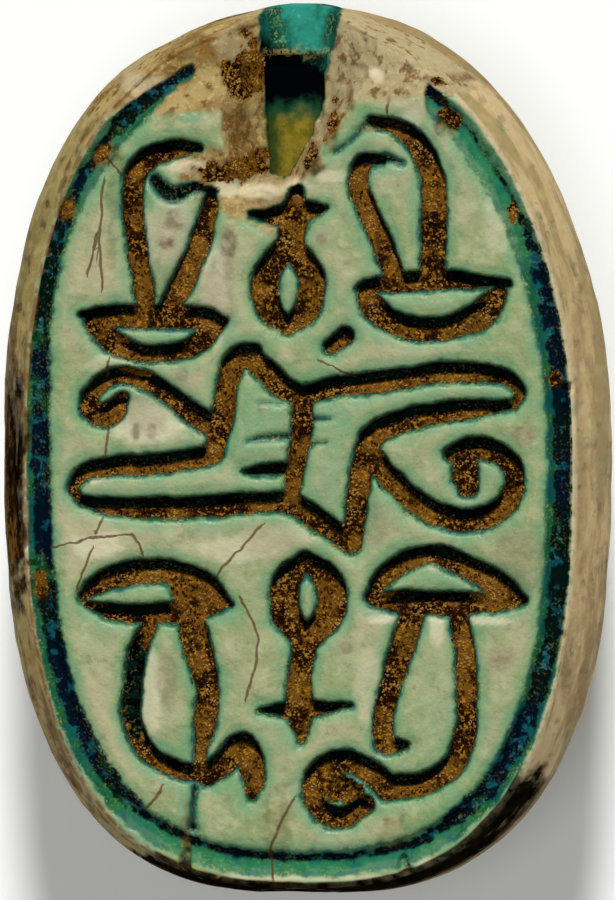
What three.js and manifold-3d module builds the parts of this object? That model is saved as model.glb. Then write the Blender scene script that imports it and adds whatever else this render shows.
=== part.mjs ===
// A scarab amulet of glazed steatite, carved from one piece and drilled from head to tail.
// It lies on its back with the carved face up. Millimetres, +Z up; Y runs along the beetle, head towards +Y.
// The origin is the middle of the small flat rest spot on the crown of the back.
import * as THREE from "three";
import { ConvexGeometry } from "three/addons/geometries/ConvexGeometry.js";
import { mergeVertices } from "three/addons/utils/BufferGeometryUtils.js";
import Module from "manifold-3d";

const wasm = await Module();
wasm.setup();

// The stone's overall sizes. Depths are measured from the carved face, down towards the back.
const LENGTH = 18.0; // head to tail, over the widest level
const WIDTH = 12.3; // side to side, over the widest level
const HEIGHT = 7.8; // carved face to rest spot
const PLATE_DEPTH = 2.0; // the base plate, from the face down to the widest level
const PLATE_FLARE_SIDE = 0.61; // how far the widest level stands out past the face at each side
const PLATE_FLARE_END = 0.33; // and at each end
const PLATE_EDGE_WEAR = 0.06; // the rubbed edge of the face
const LEG_BAND_HEIGHT = 2.0; // the band of legs between the plate and the back
const LEG_BAND_INSET = 0.45; // how far the band stands in from the widest level
const BACK_INSET = 0.2; // how far the edge of the back stands in from it
const STEP_HEIGHT = 0.25; // the short slopes into and out of the leg band

// The back: wing cases, the plate in front of them and a lower head.
const REST_SPOT_WIDTH = 3.0; // the flat spot on the crown that the stone lies on
const HEAD_LENGTH = 3.35; // from the widest level at the head end to the middle of the neck's slope
const HEAD_WIDTH = 4.6; // across the head between the forelegs
const HEAD_DROP = 0.55; // share of the back's rise that the head lacks
const NECK_SLOPE = 2.5; // length of the slope from the head up to the plate behind it
const CHEEK_DROP = 0.5; // share of the head's rise that is cut away beside it
const CHEEK_SLOPE = 0.8; // width of the slopes down beside the head
const WING_LINE_Y = 2.5; // where the wing cases start
const WING_LINE_BOW = 0.9; // how far that line curves back at the sides
const SCORE_WIDTH = 0.5; // lines scored into the back and sides
const SCORE_DEPTH = 0.22;

// The string hole, drilled from both ends. It runs close under the face.
const HOLE_DIAMETER = 1.26;
const HOLE_DEPTH = 1.45; // its axis, below the carved face
const HOLE_ASIDE = -0.19; // it runs a little to the left of the middle
const MOUTH_WIDTH = 1.7; // each end is reamed out to a wider, flatter mouth
const MOUTH_HEIGHT = 1.36;
const MOUTH_LENGTH = 1.05;
const MOUTH_DEPTH = 1.18; // the mouth's middle, below the carved face
const MOUTH_ASIDE = -0.02;

// The carving of the face.
const GOUGE_WIDTH = 0.5; // a full gouge cut
const GOUGE_DEPTH = 0.45;
const SHALLOW_DEPTH = 0.18; // light cuts that the glaze nearly fills
const BORDER_WIDTH = 0.42; // the oval line round the face
const BORDER_DEPTH = 0.34;
const BORDER_INSET_SIDE = 0.3; // from its middle to the edge of the face at each side
const BORDER_INSET_END = 0.5; // and at each end
const CUT_FLOOR = 0.62; // width of a cut at its floor, as a share of its width at the face

// The broken head end: the thin roof of the string hole has flaked away there.
const BREAK_LENGTH = 3.6; // along the stone, from the widest level at the head end
const BREAK_WIDTH = 2.7; // across the middle of the flake, at the face
const BREAK_LIP = 0.95; // depth of its steep edge
const BREAK_WALL = 1.35; // slope of its left wall
const SCAR_DEPTH = 0.2; // the shallow scars on both sides of it

const OVERSHOOT = 0.3; // how far a cut is carried past the surface it opens
const SMALLEST_EDGE = 0.005; // facets finer than this are merged
const ANGLE_STEPS = 88;

const halfWidth = WIDTH / 2;
const halfLength = LENGTH / 2;
const faceHalfWidth = halfWidth - PLATE_FLARE_SIDE;
const faceHalfLength = halfLength - PLATE_FLARE_END;
const backHalfWidth = halfWidth - BACK_INSET;
const backHalfLength = halfLength - BACK_INSET;
const backDepth = PLATE_DEPTH + LEG_BAND_HEIGHT;
const spotReach = REST_SPOT_WIDTH / 2 / backHalfWidth;

// The oval is fuller at the tail than at the head, and a little lopsided, as a hand-cut stone is.
const FULLNESS = { headRight: 2.1, headLeft: 2.35, tail: 2.7 };

function ovalRadius(angle, across, along) {
  const c = Math.cos(angle);
  const s = Math.sin(angle);
  const head = c >= 0 ? FULLNESS.headRight : FULLNESS.headLeft;
  const power = s >= 0 ? head : FULLNESS.tail;
  return (Math.abs(c / across) ** power + Math.abs(s / along) ** power) ** (-1 / power);
}

// A point on the oval, scaled by reach, at a share of the way round.
function ovalPoint(turn, across, along, reach = 1) {
  const eccentric = 2 * Math.PI * turn;
  const angle = Math.atan2(along * Math.sin(eccentric), across * Math.cos(eccentric));
  const radius = reach * ovalRadius(angle, across, along);
  return [radius * Math.cos(angle), radius * Math.sin(angle)];
}

function smooth(value, middle, spread) {
  const share = Math.min(1, Math.max(0, (value - middle) / spread + 0.5));
  return share * share * (3 - 2 * share);
}

// Height of the back over its edge, as a share: a dome that is cut off flat at the rest spot.
const domeAt = (reach) => (1 - Math.min(1, reach) ** 2.6) ** (1 / 1.9);
const dome = (reach) => Math.min(1, domeAt(reach) / domeAt(spotReach));

// Depth of the back's surface below the carved face, at a place seen from above.
function backSurface(x, y) {
  const reach = Math.hypot(x, y) / ovalRadius(Math.atan2(y, x), backHalfWidth, backHalfLength);
  const neckY = halfLength - HEAD_LENGTH;
  const front = 1 - HEAD_DROP * smooth(y, neckY, NECK_SLOPE);
  const beside = smooth(Math.abs(x), HEAD_WIDTH / 2, CHEEK_SLOPE);
  const cheek = 1 - CHEEK_DROP * beside * smooth(y, neckY + CHEEK_SLOPE / 2, CHEEK_SLOPE);
  return backDepth + (HEIGHT - backDepth) * dome(reach) * front * cheek;
}

// Rings of the stone's skin, from the edge of the face down the sides and over the back.
const BACK_RINGS = [0.98, 0.93, 0.85, 0.74, 0.61, 0.47, 0.31, 0.15, 0];
function skinRings() {
  const level = (depth, side, end = side) => (turn) => {
    const [x, y] = ovalPoint(turn, halfWidth - side, halfLength - end);
    return [x, y, HEIGHT - depth];
  };
  const onBack = (share) => (turn) => {
    const reach = spotReach + share * (1 - spotReach);
    const [x, y] = ovalPoint(turn, backHalfWidth, backHalfLength, reach);
    return [x, y, HEIGHT - backSurface(x, y)];
  };
  return [
    level(0, PLATE_FLARE_SIDE + PLATE_EDGE_WEAR, PLATE_FLARE_END + PLATE_EDGE_WEAR),
    level(PLATE_EDGE_WEAR, PLATE_FLARE_SIDE, PLATE_FLARE_END),
    level(PLATE_DEPTH * 0.6, PLATE_FLARE_SIDE * 0.25, PLATE_FLARE_END * 0.25),
    level(PLATE_DEPTH, 0),
    level(PLATE_DEPTH + STEP_HEIGHT, LEG_BAND_INSET),
    level(backDepth - STEP_HEIGHT, LEG_BAND_INSET),
    level(backDepth, BACK_INSET),
    ...BACK_RINGS.map(onBack),
  ];
}

function skinGeometry() {
  const rings = skinRings();
  const positions = [0, 0, HEIGHT];
  for (const ring of rings) {
    for (let i = 0; i < ANGLE_STEPS; i += 1) positions.push(...ring(i / ANGLE_STEPS));
  }
  positions.push(0, 0, HEIGHT - backSurface(0, 0));
  const at = (ring, i) => 1 + ring * ANGLE_STEPS + (i % ANGLE_STEPS);
  const lastRing = rings.length - 1;
  const crown = 1 + rings.length * ANGLE_STEPS;
  const index = [];
  for (let i = 0; i < ANGLE_STEPS; i += 1) {
    index.push(0, at(0, i), at(0, i + 1));
    index.push(crown, at(lastRing, i + 1), at(lastRing, i));
    for (let ring = 0; ring < lastRing; ring += 1) {
      index.push(at(ring, i), at(ring + 1, i), at(ring + 1, i + 1));
      index.push(at(ring, i), at(ring + 1, i + 1), at(ring, i + 1));
    }
  }
  return indexedGeometry(positions, index);
}

function indexedGeometry(positions, index) {
  const geometry = new THREE.BufferGeometry();
  geometry.setAttribute("position", new THREE.Float32BufferAttribute(positions, 3));
  geometry.setIndex(index);
  return geometry;
}

// Points are set on an even grid as fine as the tolerance, and those that meet on it are merged.
function toSolid(geometry, tolerance = 1e-5) {
  const bare = geometry.clone();
  bare.deleteAttribute("normal");
  bare.deleteAttribute("uv");
  const place = bare.getAttribute("position");
  place.array = place.array.map((value) => Math.round(value / tolerance) * tolerance);
  const merged = mergeVertices(bare, tolerance / 2);
  return new wasm.Manifold(
    new wasm.Mesh({
      numProp: 3,
      vertProperties: new Float32Array(merged.attributes.position.array),
      triVerts: new Uint32Array(merged.index.array),
    }),
  );
}

function toGeometry(solid) {
  const mesh = solid.getMesh();
  const flat = indexedGeometry([...mesh.vertProperties], [...mesh.triVerts]).toNonIndexed();
  flat.computeVertexNormals();
  return flat;
}

const hullOf = (points) => toSolid(new ConvexGeometry(points));
const joined = (solids) => wasm.Manifold.union(solids);
// The stone itself, without the crumbs that cuts side by side can leave.
const largest = (solid) => solid.decompose().reduce((a, b) => (b.volume() > a.volume() ? b : a));

// The face's carving, on a layout grid of 556 steps across the face and 865 along it, from its middle.
// A cut is a smooth line through a few points, each [across, along, width]; 25 steps are a full gouge.
const LAYOUT_ACROSS = 556;
const LAYOUT_ALONG = 865;
const LAYOUT_GOUGE = 25;

// Upper left: a basket with two uprights, the left one hooked.
const UPPER_LEFT = [
  [[-218, 141, 12], [-196, 139, 24], [-148, 139, 27], [-100, 138, 25], [-76, 135, 12]],
  [[-210, 135, 18], [-190, 115, 26], [-143, 102, 20], [-98, 117, 24], [-78, 134, 14]],
  [[-155, 157, 22], [-168, 245, 24], [-161, 289, 26], [-133, 305, 24], [-102, 308, 14]],
  [[-130, 151, 24], [-118, 172, 27], [-101, 212, 25], [-89, 264, 14]],
];
// Upper middle: a round body with a neck and a cross bar, and a pit beside it.
const UPPER_MIDDLE = [
  [[-48, 242, 10], [-26, 241, 22], [-8, 243, 28], [26, 250, 8]],
  [[-3, 266, 16], [-6, 242, 30], [-8, 212, 30]],
  [[-13, 209, 26], [-35, 178, 30], [-30, 147, 28], [-12, 129, 20]],
  [[-6, 209, 26], [13, 178, 30], [7, 147, 28], [-12, 129, 20]],
  [[31, 110, 19], [46, 121, 23]],
];
// Upper right: a basket with two uprights, both bent towards each other.
const UPPER_RIGHT = [
  [[68, 171, 16], [102, 175, 22], [152, 178, 22], [209, 175, 12]],
  [[64, 168, 16], [76, 147, 28], [122, 128, 27], [160, 132, 27], [188, 148, 32], [204, 168, 16]],
  [[96, 179, 24], [67, 252, 24], [59, 275, 22], [66, 295, 20], [83, 297, 14]],
  [[134, 185, 28], [134, 282, 27], [122, 309, 26], [99, 329, 20], [74, 336, 16]],
];
// Middle: two tall crowns with curls, lying head to foot, with one column between them.
const LEFT_CROWN = [
  [[-180, 54, 18], [-192, 42, 28], [-212, 56, 21], [-183, 77, 20], [-133, 62, 22], [-86, 29, 26]],
  [[-86, 5, 22], [-72, 72, 24], [-62, 99, 26], [-46, 105, 20]],
  [[-58, 103, 22], [-36, 89, 26], [2, 59, 24]],
  [[-86, 2, 24], [-148, -9, 23], [-216, -17, 18], [-228, -33, 14], [-220, -47, 12]],
  [[-222, -45, 12], [-138, -52, 25], [-36, -46, 24], [-3, -49, 24], [52, -88, 22]],
];
const RIGHT_CROWN = [
  [[3, 57, 24], [2, 22, 24], [-8, -38, 18]],
  [[2, 59, 24], [22, 67, 22], [102, 78, 25], [182, 85, 22], [222, 65, 14], [216, 53, 12]],
  [[212, 53, 12], [142, 45, 24], [82, 27, 26], [70, 17, 26]],
  [[70, 17, 26], [59, -38, 24], [54, -88, 22]],
  [
    [74, -1, 26], [127, -51, 26], [164, -64, 27], [197, -55, 26],
    [216, -31, 24], [190, 9, 25], [152, 3, 18],
  ],
  [[167, 4, 24], [168, -29, 26]],
];
// Lower middle: the round body again, standing on its head.
const LOWER_MIDDLE = [
  [[5, -103, 20], [-14, -128, 32], [-14, -156, 32], [2, -181, 28]],
  [[7, -103, 20], [31, -128, 32], [31, -156, 32], [10, -181, 28]],
  [[6, -183, 28], [0, -255, 30], [1, -285, 10]],
  [[-42, -252, 10], [0, -255, 26], [52, -250, 8]],
];
// Lower left: a domed basket, upside down, with two uprights that end in a hooked foot.
const LOWER_LEFT = [
  [[-218, -141, 14], [-200, -126, 24], [-163, -117, 28], [-97, -137, 36], [-69, -150, 12]],
  [[-214, -149, 10], [-188, -157, 20], [-108, -155, 26], [-86, -149, 24]],
  [[-152, -171, 20], [-169, -238, 23], [-151, -300, 22], [-123, -315, 20], [-93, -319, 24]],
  [[-110, -163, 28], [-101, -198, 31], [-95, -265, 26], [-101, -308, 14]],
  [[-93, -321, 26], [-56, -292, 30], [-47, -310, 30], [-48, -342, 12]],
];
// Lower right: the same, with the right upright ending in a round curl.
const LOWER_RIGHT = [
  [[70, -140, 12], [90, -116, 24], [132, -97, 22], [202, -128, 30], [226, -143, 12]],
  [[70, -142, 12], [102, -145, 26], [182, -146, 24], [224, -145, 10]],
  [[115, -155, 28], [85, -265, 22], [87, -287, 24], [104, -289, 14]],
  [[160, -155, 20], [169, -243, 24], [152, -311, 26], [122, -328, 26], [87, -331, 28]],
  [[87, -330, 30], [40, -305, 26], [16, -323, 26], [16, -349, 24], [42, -363, 24], [66, -349, 22]],
];
const DEEP_CUTS = [
  ...UPPER_LEFT, ...UPPER_MIDDLE, ...UPPER_RIGHT, ...LEFT_CROWN, ...RIGHT_CROWN,
  ...LOWER_MIDDLE, ...LOWER_LEFT, ...LOWER_RIGHT,
];
const SHALLOW_CUTS = [
  [[-88, 267, 12], [-106, 273, 10], [-130, 267, 12]],
  [[68, 333, 10], [37, 305, 8]],
  [[-8, 20, 8], [-50, 16, 6]],
  [[-10, -12, 12], [-56, -14, 8]],
  [[12, 37, 10], [32, 39, 6]],
  [[32, -334, 22], [54, -333, 20]],
  [[-105, -331, 12], [-108, -375, 14]],
];

// A cut's line as evenly spaced points in millimetres, with the half width in z.
const CUT_SPACING = 0.62;
function cutLine(points) {
  const perStepX = (2 * faceHalfWidth) / LAYOUT_ACROSS;
  const perStepY = (2 * faceHalfLength) / LAYOUT_ALONG;
  const perStepWidth = GOUGE_WIDTH / LAYOUT_GOUGE;
  const placed = points.map(
    ([across, along, width]) =>
      new THREE.Vector3(across * perStepX, along * perStepY, (width * perStepWidth) / 2),
  );
  const curve = new THREE.CatmullRomCurve3(placed, false, "centripetal");
  return curve.getSpacedPoints(Math.max(1, Math.round(curve.getLength() / CUT_SPACING)));
}

// The rim of a cut at one point of its line: its two sides, or a half disc where the cut ends.
const END_FACETS = 4;
function cutRim(line, i, depth) {
  const before = line[Math.max(0, i - 1)];
  const after = line[Math.min(line.length - 1, i + 1)];
  const heading = Math.atan2(after.y - before.y, after.x - before.x);
  let turns = [Math.PI / 2, -Math.PI / 2];
  if (i === 0) turns = halfTurns(Math.PI / 2);
  if (i === line.length - 1) turns = halfTurns(-Math.PI / 2);
  return turns.flatMap((turn) => {
    const dx = line[i].z * Math.cos(heading + turn);
    const dy = line[i].z * Math.sin(heading + turn);
    return [
      new THREE.Vector3(line[i].x + dx, line[i].y + dy, HEIGHT + OVERSHOOT),
      new THREE.Vector3(line[i].x + dx, line[i].y + dy, HEIGHT),
      new THREE.Vector3(line[i].x + dx * CUT_FLOOR, line[i].y + dy * CUT_FLOOR, HEIGHT - depth),
    ];
  });
}

function halfTurns(start) {
  return Array.from({ length: END_FACETS + 1 }, (_, k) => start + (Math.PI * k) / END_FACETS);
}

function carve(cuts, depth) {
  const pieces = [];
  for (const cut of cuts) {
    const line = cutLine(cut);
    for (let i = 1; i < line.length; i += 1) {
      pieces.push(hullOf([...cutRim(line, i - 1, depth), ...cutRim(line, i, depth)]));
    }
  }
  return joined(pieces);
}

// The oval line round the face, as a groove with leaning walls.
const BORDER_STEPS = 72;
function borderGroove() {
  const across = faceHalfWidth - BORDER_INSET_SIDE;
  const along = faceHalfLength - BORDER_INSET_END;
  const ring = (outward, z) => (turn) => [...ovalPoint(turn, across + outward, along + outward), z];
  const half = BORDER_WIDTH / 2;
  const floorHalf = half * CUT_FLOOR;
  const rings = [
    ring(half, HEIGHT + OVERSHOOT),
    ring(-half, HEIGHT + OVERSHOOT),
    ring(-half, HEIGHT),
    ring(-floorHalf, HEIGHT - BORDER_DEPTH),
    ring(floorHalf, HEIGHT - BORDER_DEPTH),
    ring(half, HEIGHT),
  ];
  const positions = [];
  for (const section of rings) {
    for (let i = 0; i < BORDER_STEPS; i += 1) positions.push(...section(i / BORDER_STEPS));
  }
  const at = (section, i) => (section % rings.length) * BORDER_STEPS + (i % BORDER_STEPS);
  const index = [];
  for (let section = 0; section < rings.length; section += 1) {
    for (let i = 0; i < BORDER_STEPS; i += 1) {
      index.push(at(section, i), at(section, i + 1), at(section + 1, i + 1));
      index.push(at(section, i), at(section + 1, i + 1), at(section + 1, i));
    }
  }
  return toSolid(indexedGeometry(positions, index));
}

// The string hole: a straight round bore, with a wider oval mouth at each end.
const HOLE_SIDES = 24;
function stringHole() {
  const section = (y, aside, depth, width, height) =>
    Array.from({ length: HOLE_SIDES }, (_, i) => {
      const turn = (2 * Math.PI * i) / HOLE_SIDES;
      const x = aside + (width / 2) * Math.cos(turn);
      return new THREE.Vector3(x, y, HEIGHT - depth + (height / 2) * Math.sin(turn));
    });
  const round = (y, depth) => section(y, HOLE_ASIDE, depth, HOLE_DIAMETER, HOLE_DIAMETER);
  const mouthStart = halfLength - MOUTH_LENGTH;
  const bore = hullOf([...round(-mouthStart, HOLE_DEPTH), ...round(mouthStart, HOLE_DEPTH)]);
  const mouth = (end) =>
    hullOf([
      ...round(end * (mouthStart - OVERSHOOT), MOUTH_DEPTH),
      ...section(end * (halfLength + OVERSHOOT), MOUTH_ASIDE, MOUTH_DEPTH, MOUTH_WIDTH, MOUTH_HEIGHT),
    ]);
  return joined([bore, mouth(1), mouth(-1)]);
}

// A flake of broken stone: a block over the face, cut back by sloping planes. A plane passes through
// a point, its lip below the face, and falls at its slope along its heading in degrees.
function flake(sides) {
  const block = toSolid(
    new THREE.BoxGeometry(3 * WIDTH, 3 * LENGTH, 2 * HEIGHT).translate(0, 0, HEIGHT),
  );
  const trim = (solid, { x, y, heading, slope, lip = 0 }) => {
    const turn = THREE.MathUtils.degToRad(heading);
    const normal = new THREE.Vector3(slope * Math.cos(turn), slope * Math.sin(turn), 1).normalize();
    return solid.trimByPlane(normal.toArray(), normal.dot(new THREE.Vector3(x, y, HEIGHT - lip)));
  };
  return sides.reduce(trim, block);
}

function brokenEnd() {
  const lipY = halfLength - BREAK_LENGTH;
  const fromLip = (share) => lipY + share * BREAK_LENGTH;
  const leftX = HOLE_ASIDE - BREAK_WIDTH * 0.52;
  const rightX = HOLE_ASIDE + BREAK_WIDTH * 0.48;
  const overHole = [
    { x: HOLE_ASIDE, y: lipY, heading: 97, slope: 3.9 },
    { x: HOLE_ASIDE, y: lipY, heading: 110, slope: 0.25, lip: BREAK_LIP },
    { x: leftX, y: fromLip(0.45), heading: 7, slope: BREAK_WALL },
    { x: rightX, y: fromLip(0.49), heading: 148, slope: 2.3 },
    { x: rightX + BREAK_WIDTH * 0.24, y: fromLip(0.55), heading: 176, slope: 0.9 },
  ];
  const levelFloor = { x: HOLE_ASIDE, y: fromLip(0.55), heading: 90, slope: 0.02, lip: SCAR_DEPTH };
  const rightScar = [
    { x: rightX, y: fromLip(0.45), heading: 94, slope: 0.3 },
    { x: rightX + BREAK_WIDTH * 0.85, y: fromLip(0.58), heading: 168, slope: 0.5 },
    { x: rightX - BREAK_WIDTH * 0.15, y: fromLip(0.55), heading: 0, slope: 4 },
    levelFloor,
  ];
  const leftScar = [
    { x: leftX, y: fromLip(0.71), heading: 115, slope: 0.35 },
    { x: leftX + BREAK_WIDTH * 0.07, y: fromLip(0.55), heading: 180, slope: 2 },
    levelFloor,
  ];
  return joined([overHole, rightScar, leftScar].map(flake));
}

// Scored lines: a V cut along points of the surface, each with its outward direction.
function scoredLine(places) {
  const rim = (SCORE_WIDTH / 2) * (1 + OVERSHOOT / SCORE_DEPTH);
  const section = (i) => {
    const { point, outward } = places[i];
    const before = places[Math.max(0, i - 1)].point;
    const after = places[Math.min(places.length - 1, i + 1)].point;
    const sideways = new THREE.Vector3().subVectors(after, before).cross(outward).normalize();
    const above = point.clone().addScaledVector(outward, OVERSHOOT);
    return [
      point.clone().addScaledVector(outward, -SCORE_DEPTH),
      above.clone().addScaledVector(sideways, rim),
      above.clone().addScaledVector(sideways, -rim),
    ];
  };
  const pieces = [];
  for (let i = 1; i < places.length; i += 1) pieces.push(hullOf([...section(i - 1), ...section(i)]));
  return joined(pieces);
}

function backPlace(x, y) {
  const step = SCORE_WIDTH / 20;
  const slopeX = (backSurface(x + step, y) - backSurface(x - step, y)) / (2 * step);
  const slopeY = (backSurface(x, y + step) - backSurface(x, y - step)) / (2 * step);
  return {
    point: new THREE.Vector3(x, y, HEIGHT - backSurface(x, y)),
    outward: new THREE.Vector3(-slopeX, -slopeY, -1).normalize(),
  };
}

function placesAlong(count, place) {
  return Array.from({ length: count + 1 }, (_, i) => place(i / count));
}

// The back's lines: between the wing cases, in front of them, along their edges, behind the head,
// and two short rays on it.
function backLines() {
  const headY = halfLength - HEAD_LENGTH;
  const seam = (t) => backPlace(0, WING_LINE_Y - t * (0.94 * halfLength + WING_LINE_Y));
  const wingLine = (t) => {
    const side = 2 * t - 1;
    return backPlace(side * backHalfWidth * 0.9, WING_LINE_Y - WING_LINE_BOW * side ** 2);
  };
  const headLine = (t) => backPlace((t - 0.5) * HEAD_WIDTH * 0.9, headY + NECK_SLOPE * 0.3);
  const wingEdge = (side) => (t) => {
    const turn = 0.25 + side * (0.22 + 0.27 * t);
    return backPlace(...ovalPoint(turn, backHalfWidth, backHalfLength, 0.88));
  };
  const headRay = (side) => (t) =>
    backPlace(side * HEAD_WIDTH * (0.11 + 0.1 * t), headY + HEAD_LENGTH * (0.45 + 0.37 * t));
  return [
    placesAlong(10, seam),
    placesAlong(12, wingLine),
    placesAlong(6, headLine),
    ...[-1, 1].flatMap((side) => [placesAlong(12, wingEdge(side)), placesAlong(2, headRay(side))]),
  ];
}

// The legs: slanting lines scored into the band between the plate and the back, alike on both sides,
// each from one place round the oval to another, in degrees from the side towards the head.
const LEG_LINES = [
  { from: 52, to: 34 },
  { from: 26, to: 12 },
  { from: -4, to: -18 },
  { from: -30, to: -44 },
  { from: -56, to: -68 },
];
function legLines() {
  const place = (degrees, share, side) => {
    const turn = side > 0 ? degrees / 360 : 0.5 - degrees / 360;
    const [x, y] = ovalPoint(turn, halfWidth - LEG_BAND_INSET, halfLength - LEG_BAND_INSET);
    const depth = PLATE_DEPTH + STEP_HEIGHT + share * (LEG_BAND_HEIGHT - 2 * STEP_HEIGHT);
    return {
      point: new THREE.Vector3(x, y, HEIGHT - depth),
      outward: new THREE.Vector3(x / halfWidth ** 2, y / halfLength ** 2, 0).normalize(),
    };
  };
  return [-1, 1].flatMap((side) =>
    LEG_LINES.map(({ from, to }) => placesAlong(3, (t) => place(from + t * (to - from), t, side))),
  );
}

function scarab() {
  const carving = [
    borderGroove(),
    carve(DEEP_CUTS, GOUGE_DEPTH),
    carve(SHALLOW_CUTS, SHALLOW_DEPTH),
  ];
  const lines = [...backLines(), ...legLines()].map(scoredLine);
  const taken = joined([...carving, ...lines, stringHole(), brokenEnd()]);
  let stone = largest(toSolid(skinGeometry()).subtract(taken).simplify(SMALLEST_EDGE));
  // Merging the points that all but touch can free another crumb.
  for (let pass = 0; pass < 3; pass += 1) {
    stone = largest(toSolid(toGeometry(stone), SMALLEST_EDGE / 5));
  }
  return stone;
}

const glazedSteatite = new THREE.MeshStandardMaterial({
  name: "glazed_steatite",
  color: 0x9fb59a,
  roughness: 0.45,
  metalness: 0,
});
const amulet = new THREE.Mesh(toGeometry(scarab()), glazedSteatite);
amulet.name = "scarab";

const part = new THREE.Group();
part.add(amulet);

export default part;
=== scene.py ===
"""A scarab amulet of glazed steatite, lying on its back with its carved face up.

Positions and sizes in the tables and functions are in millimetres, +Z up and the head towards +Y,
and are turned to metres where a mesh is made.
"""

import functools
import math

import bpy
import numpy as np
from bpy.props import FloatProperty, FloatVectorProperty, IntProperty, PointerProperty
from mathutils import Matrix, Vector, noise


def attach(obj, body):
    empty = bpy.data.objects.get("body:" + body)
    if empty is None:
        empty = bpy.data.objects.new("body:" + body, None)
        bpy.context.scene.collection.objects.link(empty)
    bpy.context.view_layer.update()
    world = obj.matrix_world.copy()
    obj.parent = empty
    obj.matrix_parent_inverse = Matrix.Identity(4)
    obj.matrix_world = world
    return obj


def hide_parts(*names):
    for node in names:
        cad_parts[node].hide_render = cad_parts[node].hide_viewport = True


bl_info = {
    "name": "Glazed steatite scarab",
    "version": (1, 0, 0),
    "blender": (4, 5, 0),
    "location": "View3D > Sidebar > Scarab",
    "description": "Makes a carved and glazed scarab amulet, the earth in its carving and a stage",
    "category": "Object",
}

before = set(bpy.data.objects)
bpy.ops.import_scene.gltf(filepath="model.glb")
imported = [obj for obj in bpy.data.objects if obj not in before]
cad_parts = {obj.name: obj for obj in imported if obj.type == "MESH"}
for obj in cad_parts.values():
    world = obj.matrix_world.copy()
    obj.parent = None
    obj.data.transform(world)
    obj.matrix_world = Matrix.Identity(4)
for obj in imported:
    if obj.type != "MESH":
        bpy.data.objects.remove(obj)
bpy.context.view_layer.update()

# Sizes in millimetres, mostly the CAD model's own; depths are below the carved face.
MM = 0.001
LENGTH = 18.0
WIDTH = 12.3
HEIGHT = 7.8
PLATE_DEPTH = 2.0
PLATE_FLARE_SIDE = 0.61
PLATE_FLARE_END = 0.33
PLATE_EDGE_WEAR = 0.06
LEG_BAND_HEIGHT = 2.0
LEG_BAND_INSET = 0.45
LEG_BAND_RADIUS = 7.3
BACK_INSET = 0.2
STEP_HEIGHT = 0.25
REST_SPOT_WIDTH = 3.0
HEAD_LENGTH = 3.35
HEAD_WIDTH = 4.6
HEAD_DROP = 0.55
NECK_SLOPE = 2.5
CHEEK_DROP = 0.5
CHEEK_SLOPE = 0.8
WING_LINE_Y = 2.5
WING_LINE_BOW = 0.9
SCORE_WIDTH = 0.46
SCORE_DEPTH = 0.2
HOLE_DIAMETER = 1.26
HOLE_DEPTH = 1.45
HOLE_ASIDE = -0.19
MOUTH_WIDTH = 1.7
MOUTH_HEIGHT = 1.36
MOUTH_LENGTH = 1.05
MOUTH_DEPTH = 1.18
MOUTH_ASIDE = -0.02
MOUTH_OVERLAP = 0.3
GOUGE_WIDTH = 0.5
GOUGE_DEPTH = 0.48
EARTH_TOP = 0.27
LIGHT_CUT_DEPTH = 0.15
BORDER_WIDTH = 0.52
BORDER_DEPTH = 0.26
BORDER_INSET_SIDE = 0.3
BORDER_INSET_END = 0.5
BREAK_LENGTH = 3.6
BREAK_WIDTH = 2.7
BREAK_LIP = 0.95
BREAK_WALL = 1.35
SCAR_DEPTH = 0.2
# How far the stone's own surface lies inside the CAD model's.
SKIN = 0.02
# How deep below the face its paint goes on the walls, and its patches and stains do.
PAINT_REACH = 1.2
PATCH_REACH = 2.2
HOLE_SIDES = 48
FLOOR_REACH = 400.0
CAMERA_AWAY = 400.0
PICTURE_HEIGHT = 18.0
CAMERA_TILT_X = 4.9
CAMERA_TILT_Y = 5.0

HALF_WIDTH = WIDTH / 2
HALF_LENGTH = LENGTH / 2
FACE_HALF_WIDTH = HALF_WIDTH - PLATE_FLARE_SIDE
FACE_HALF_LENGTH = HALF_LENGTH - PLATE_FLARE_END
BACK_HALF_WIDTH = HALF_WIDTH - BACK_INSET
BACK_HALF_LENGTH = HALF_LENGTH - BACK_INSET
BACK_DEPTH = PLATE_DEPTH + LEG_BAND_HEIGHT
SPOT_REACH = REST_SPOT_WIDTH / 2 / BACK_HALF_WIDTH
FULLNESS_HEAD_RIGHT, FULLNESS_HEAD_LEFT, FULLNESS_TAIL = 2.1, 2.35, 2.7

# The carving, on a layout grid of 556 steps across the face and 865 along it, from its middle.
# A cut is a smooth line through points of (across, along, width); 25 steps are a full gouge.
LAYOUT_ACROSS = 556
LAYOUT_ALONG = 865
LAYOUT_GOUGE = 25
UPPER_LEFT = [
    [(-218, 141, 12), (-196, 139, 24), (-148, 139, 27), (-100, 138, 25), (-76, 135, 12)],
    [(-210, 135, 18), (-190, 115, 26), (-165, 104, 22), (-143, 102, 20), (-115, 106, 22),
     (-96, 119, 24), (-78, 134, 14)],
    [(-155, 157, 22), (-163, 202, 24), (-168, 252, 23), (-161, 289, 26), (-133, 305, 24),
     (-102, 308, 14)],
    [(-130, 151, 24), (-118, 172, 27), (-101, 212, 25), (-90, 252, 20), (-89, 264, 14)],
]
UPPER_MIDDLE = [
    [(-48, 242, 10), (-26, 241, 22), (-8, 243, 28), (12, 247, 20), (26, 250, 8)],
    [(-3, 266, 16), (-6, 242, 30), (-8, 212, 30)],
    [(-13, 209, 26), (-35, 178, 30), (-30, 147, 28), (-12, 129, 20)],
    [(-6, 209, 26), (13, 178, 30), (7, 147, 28), (-12, 129, 20)],
    [(31, 110, 19), (46, 121, 23)],
]
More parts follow.
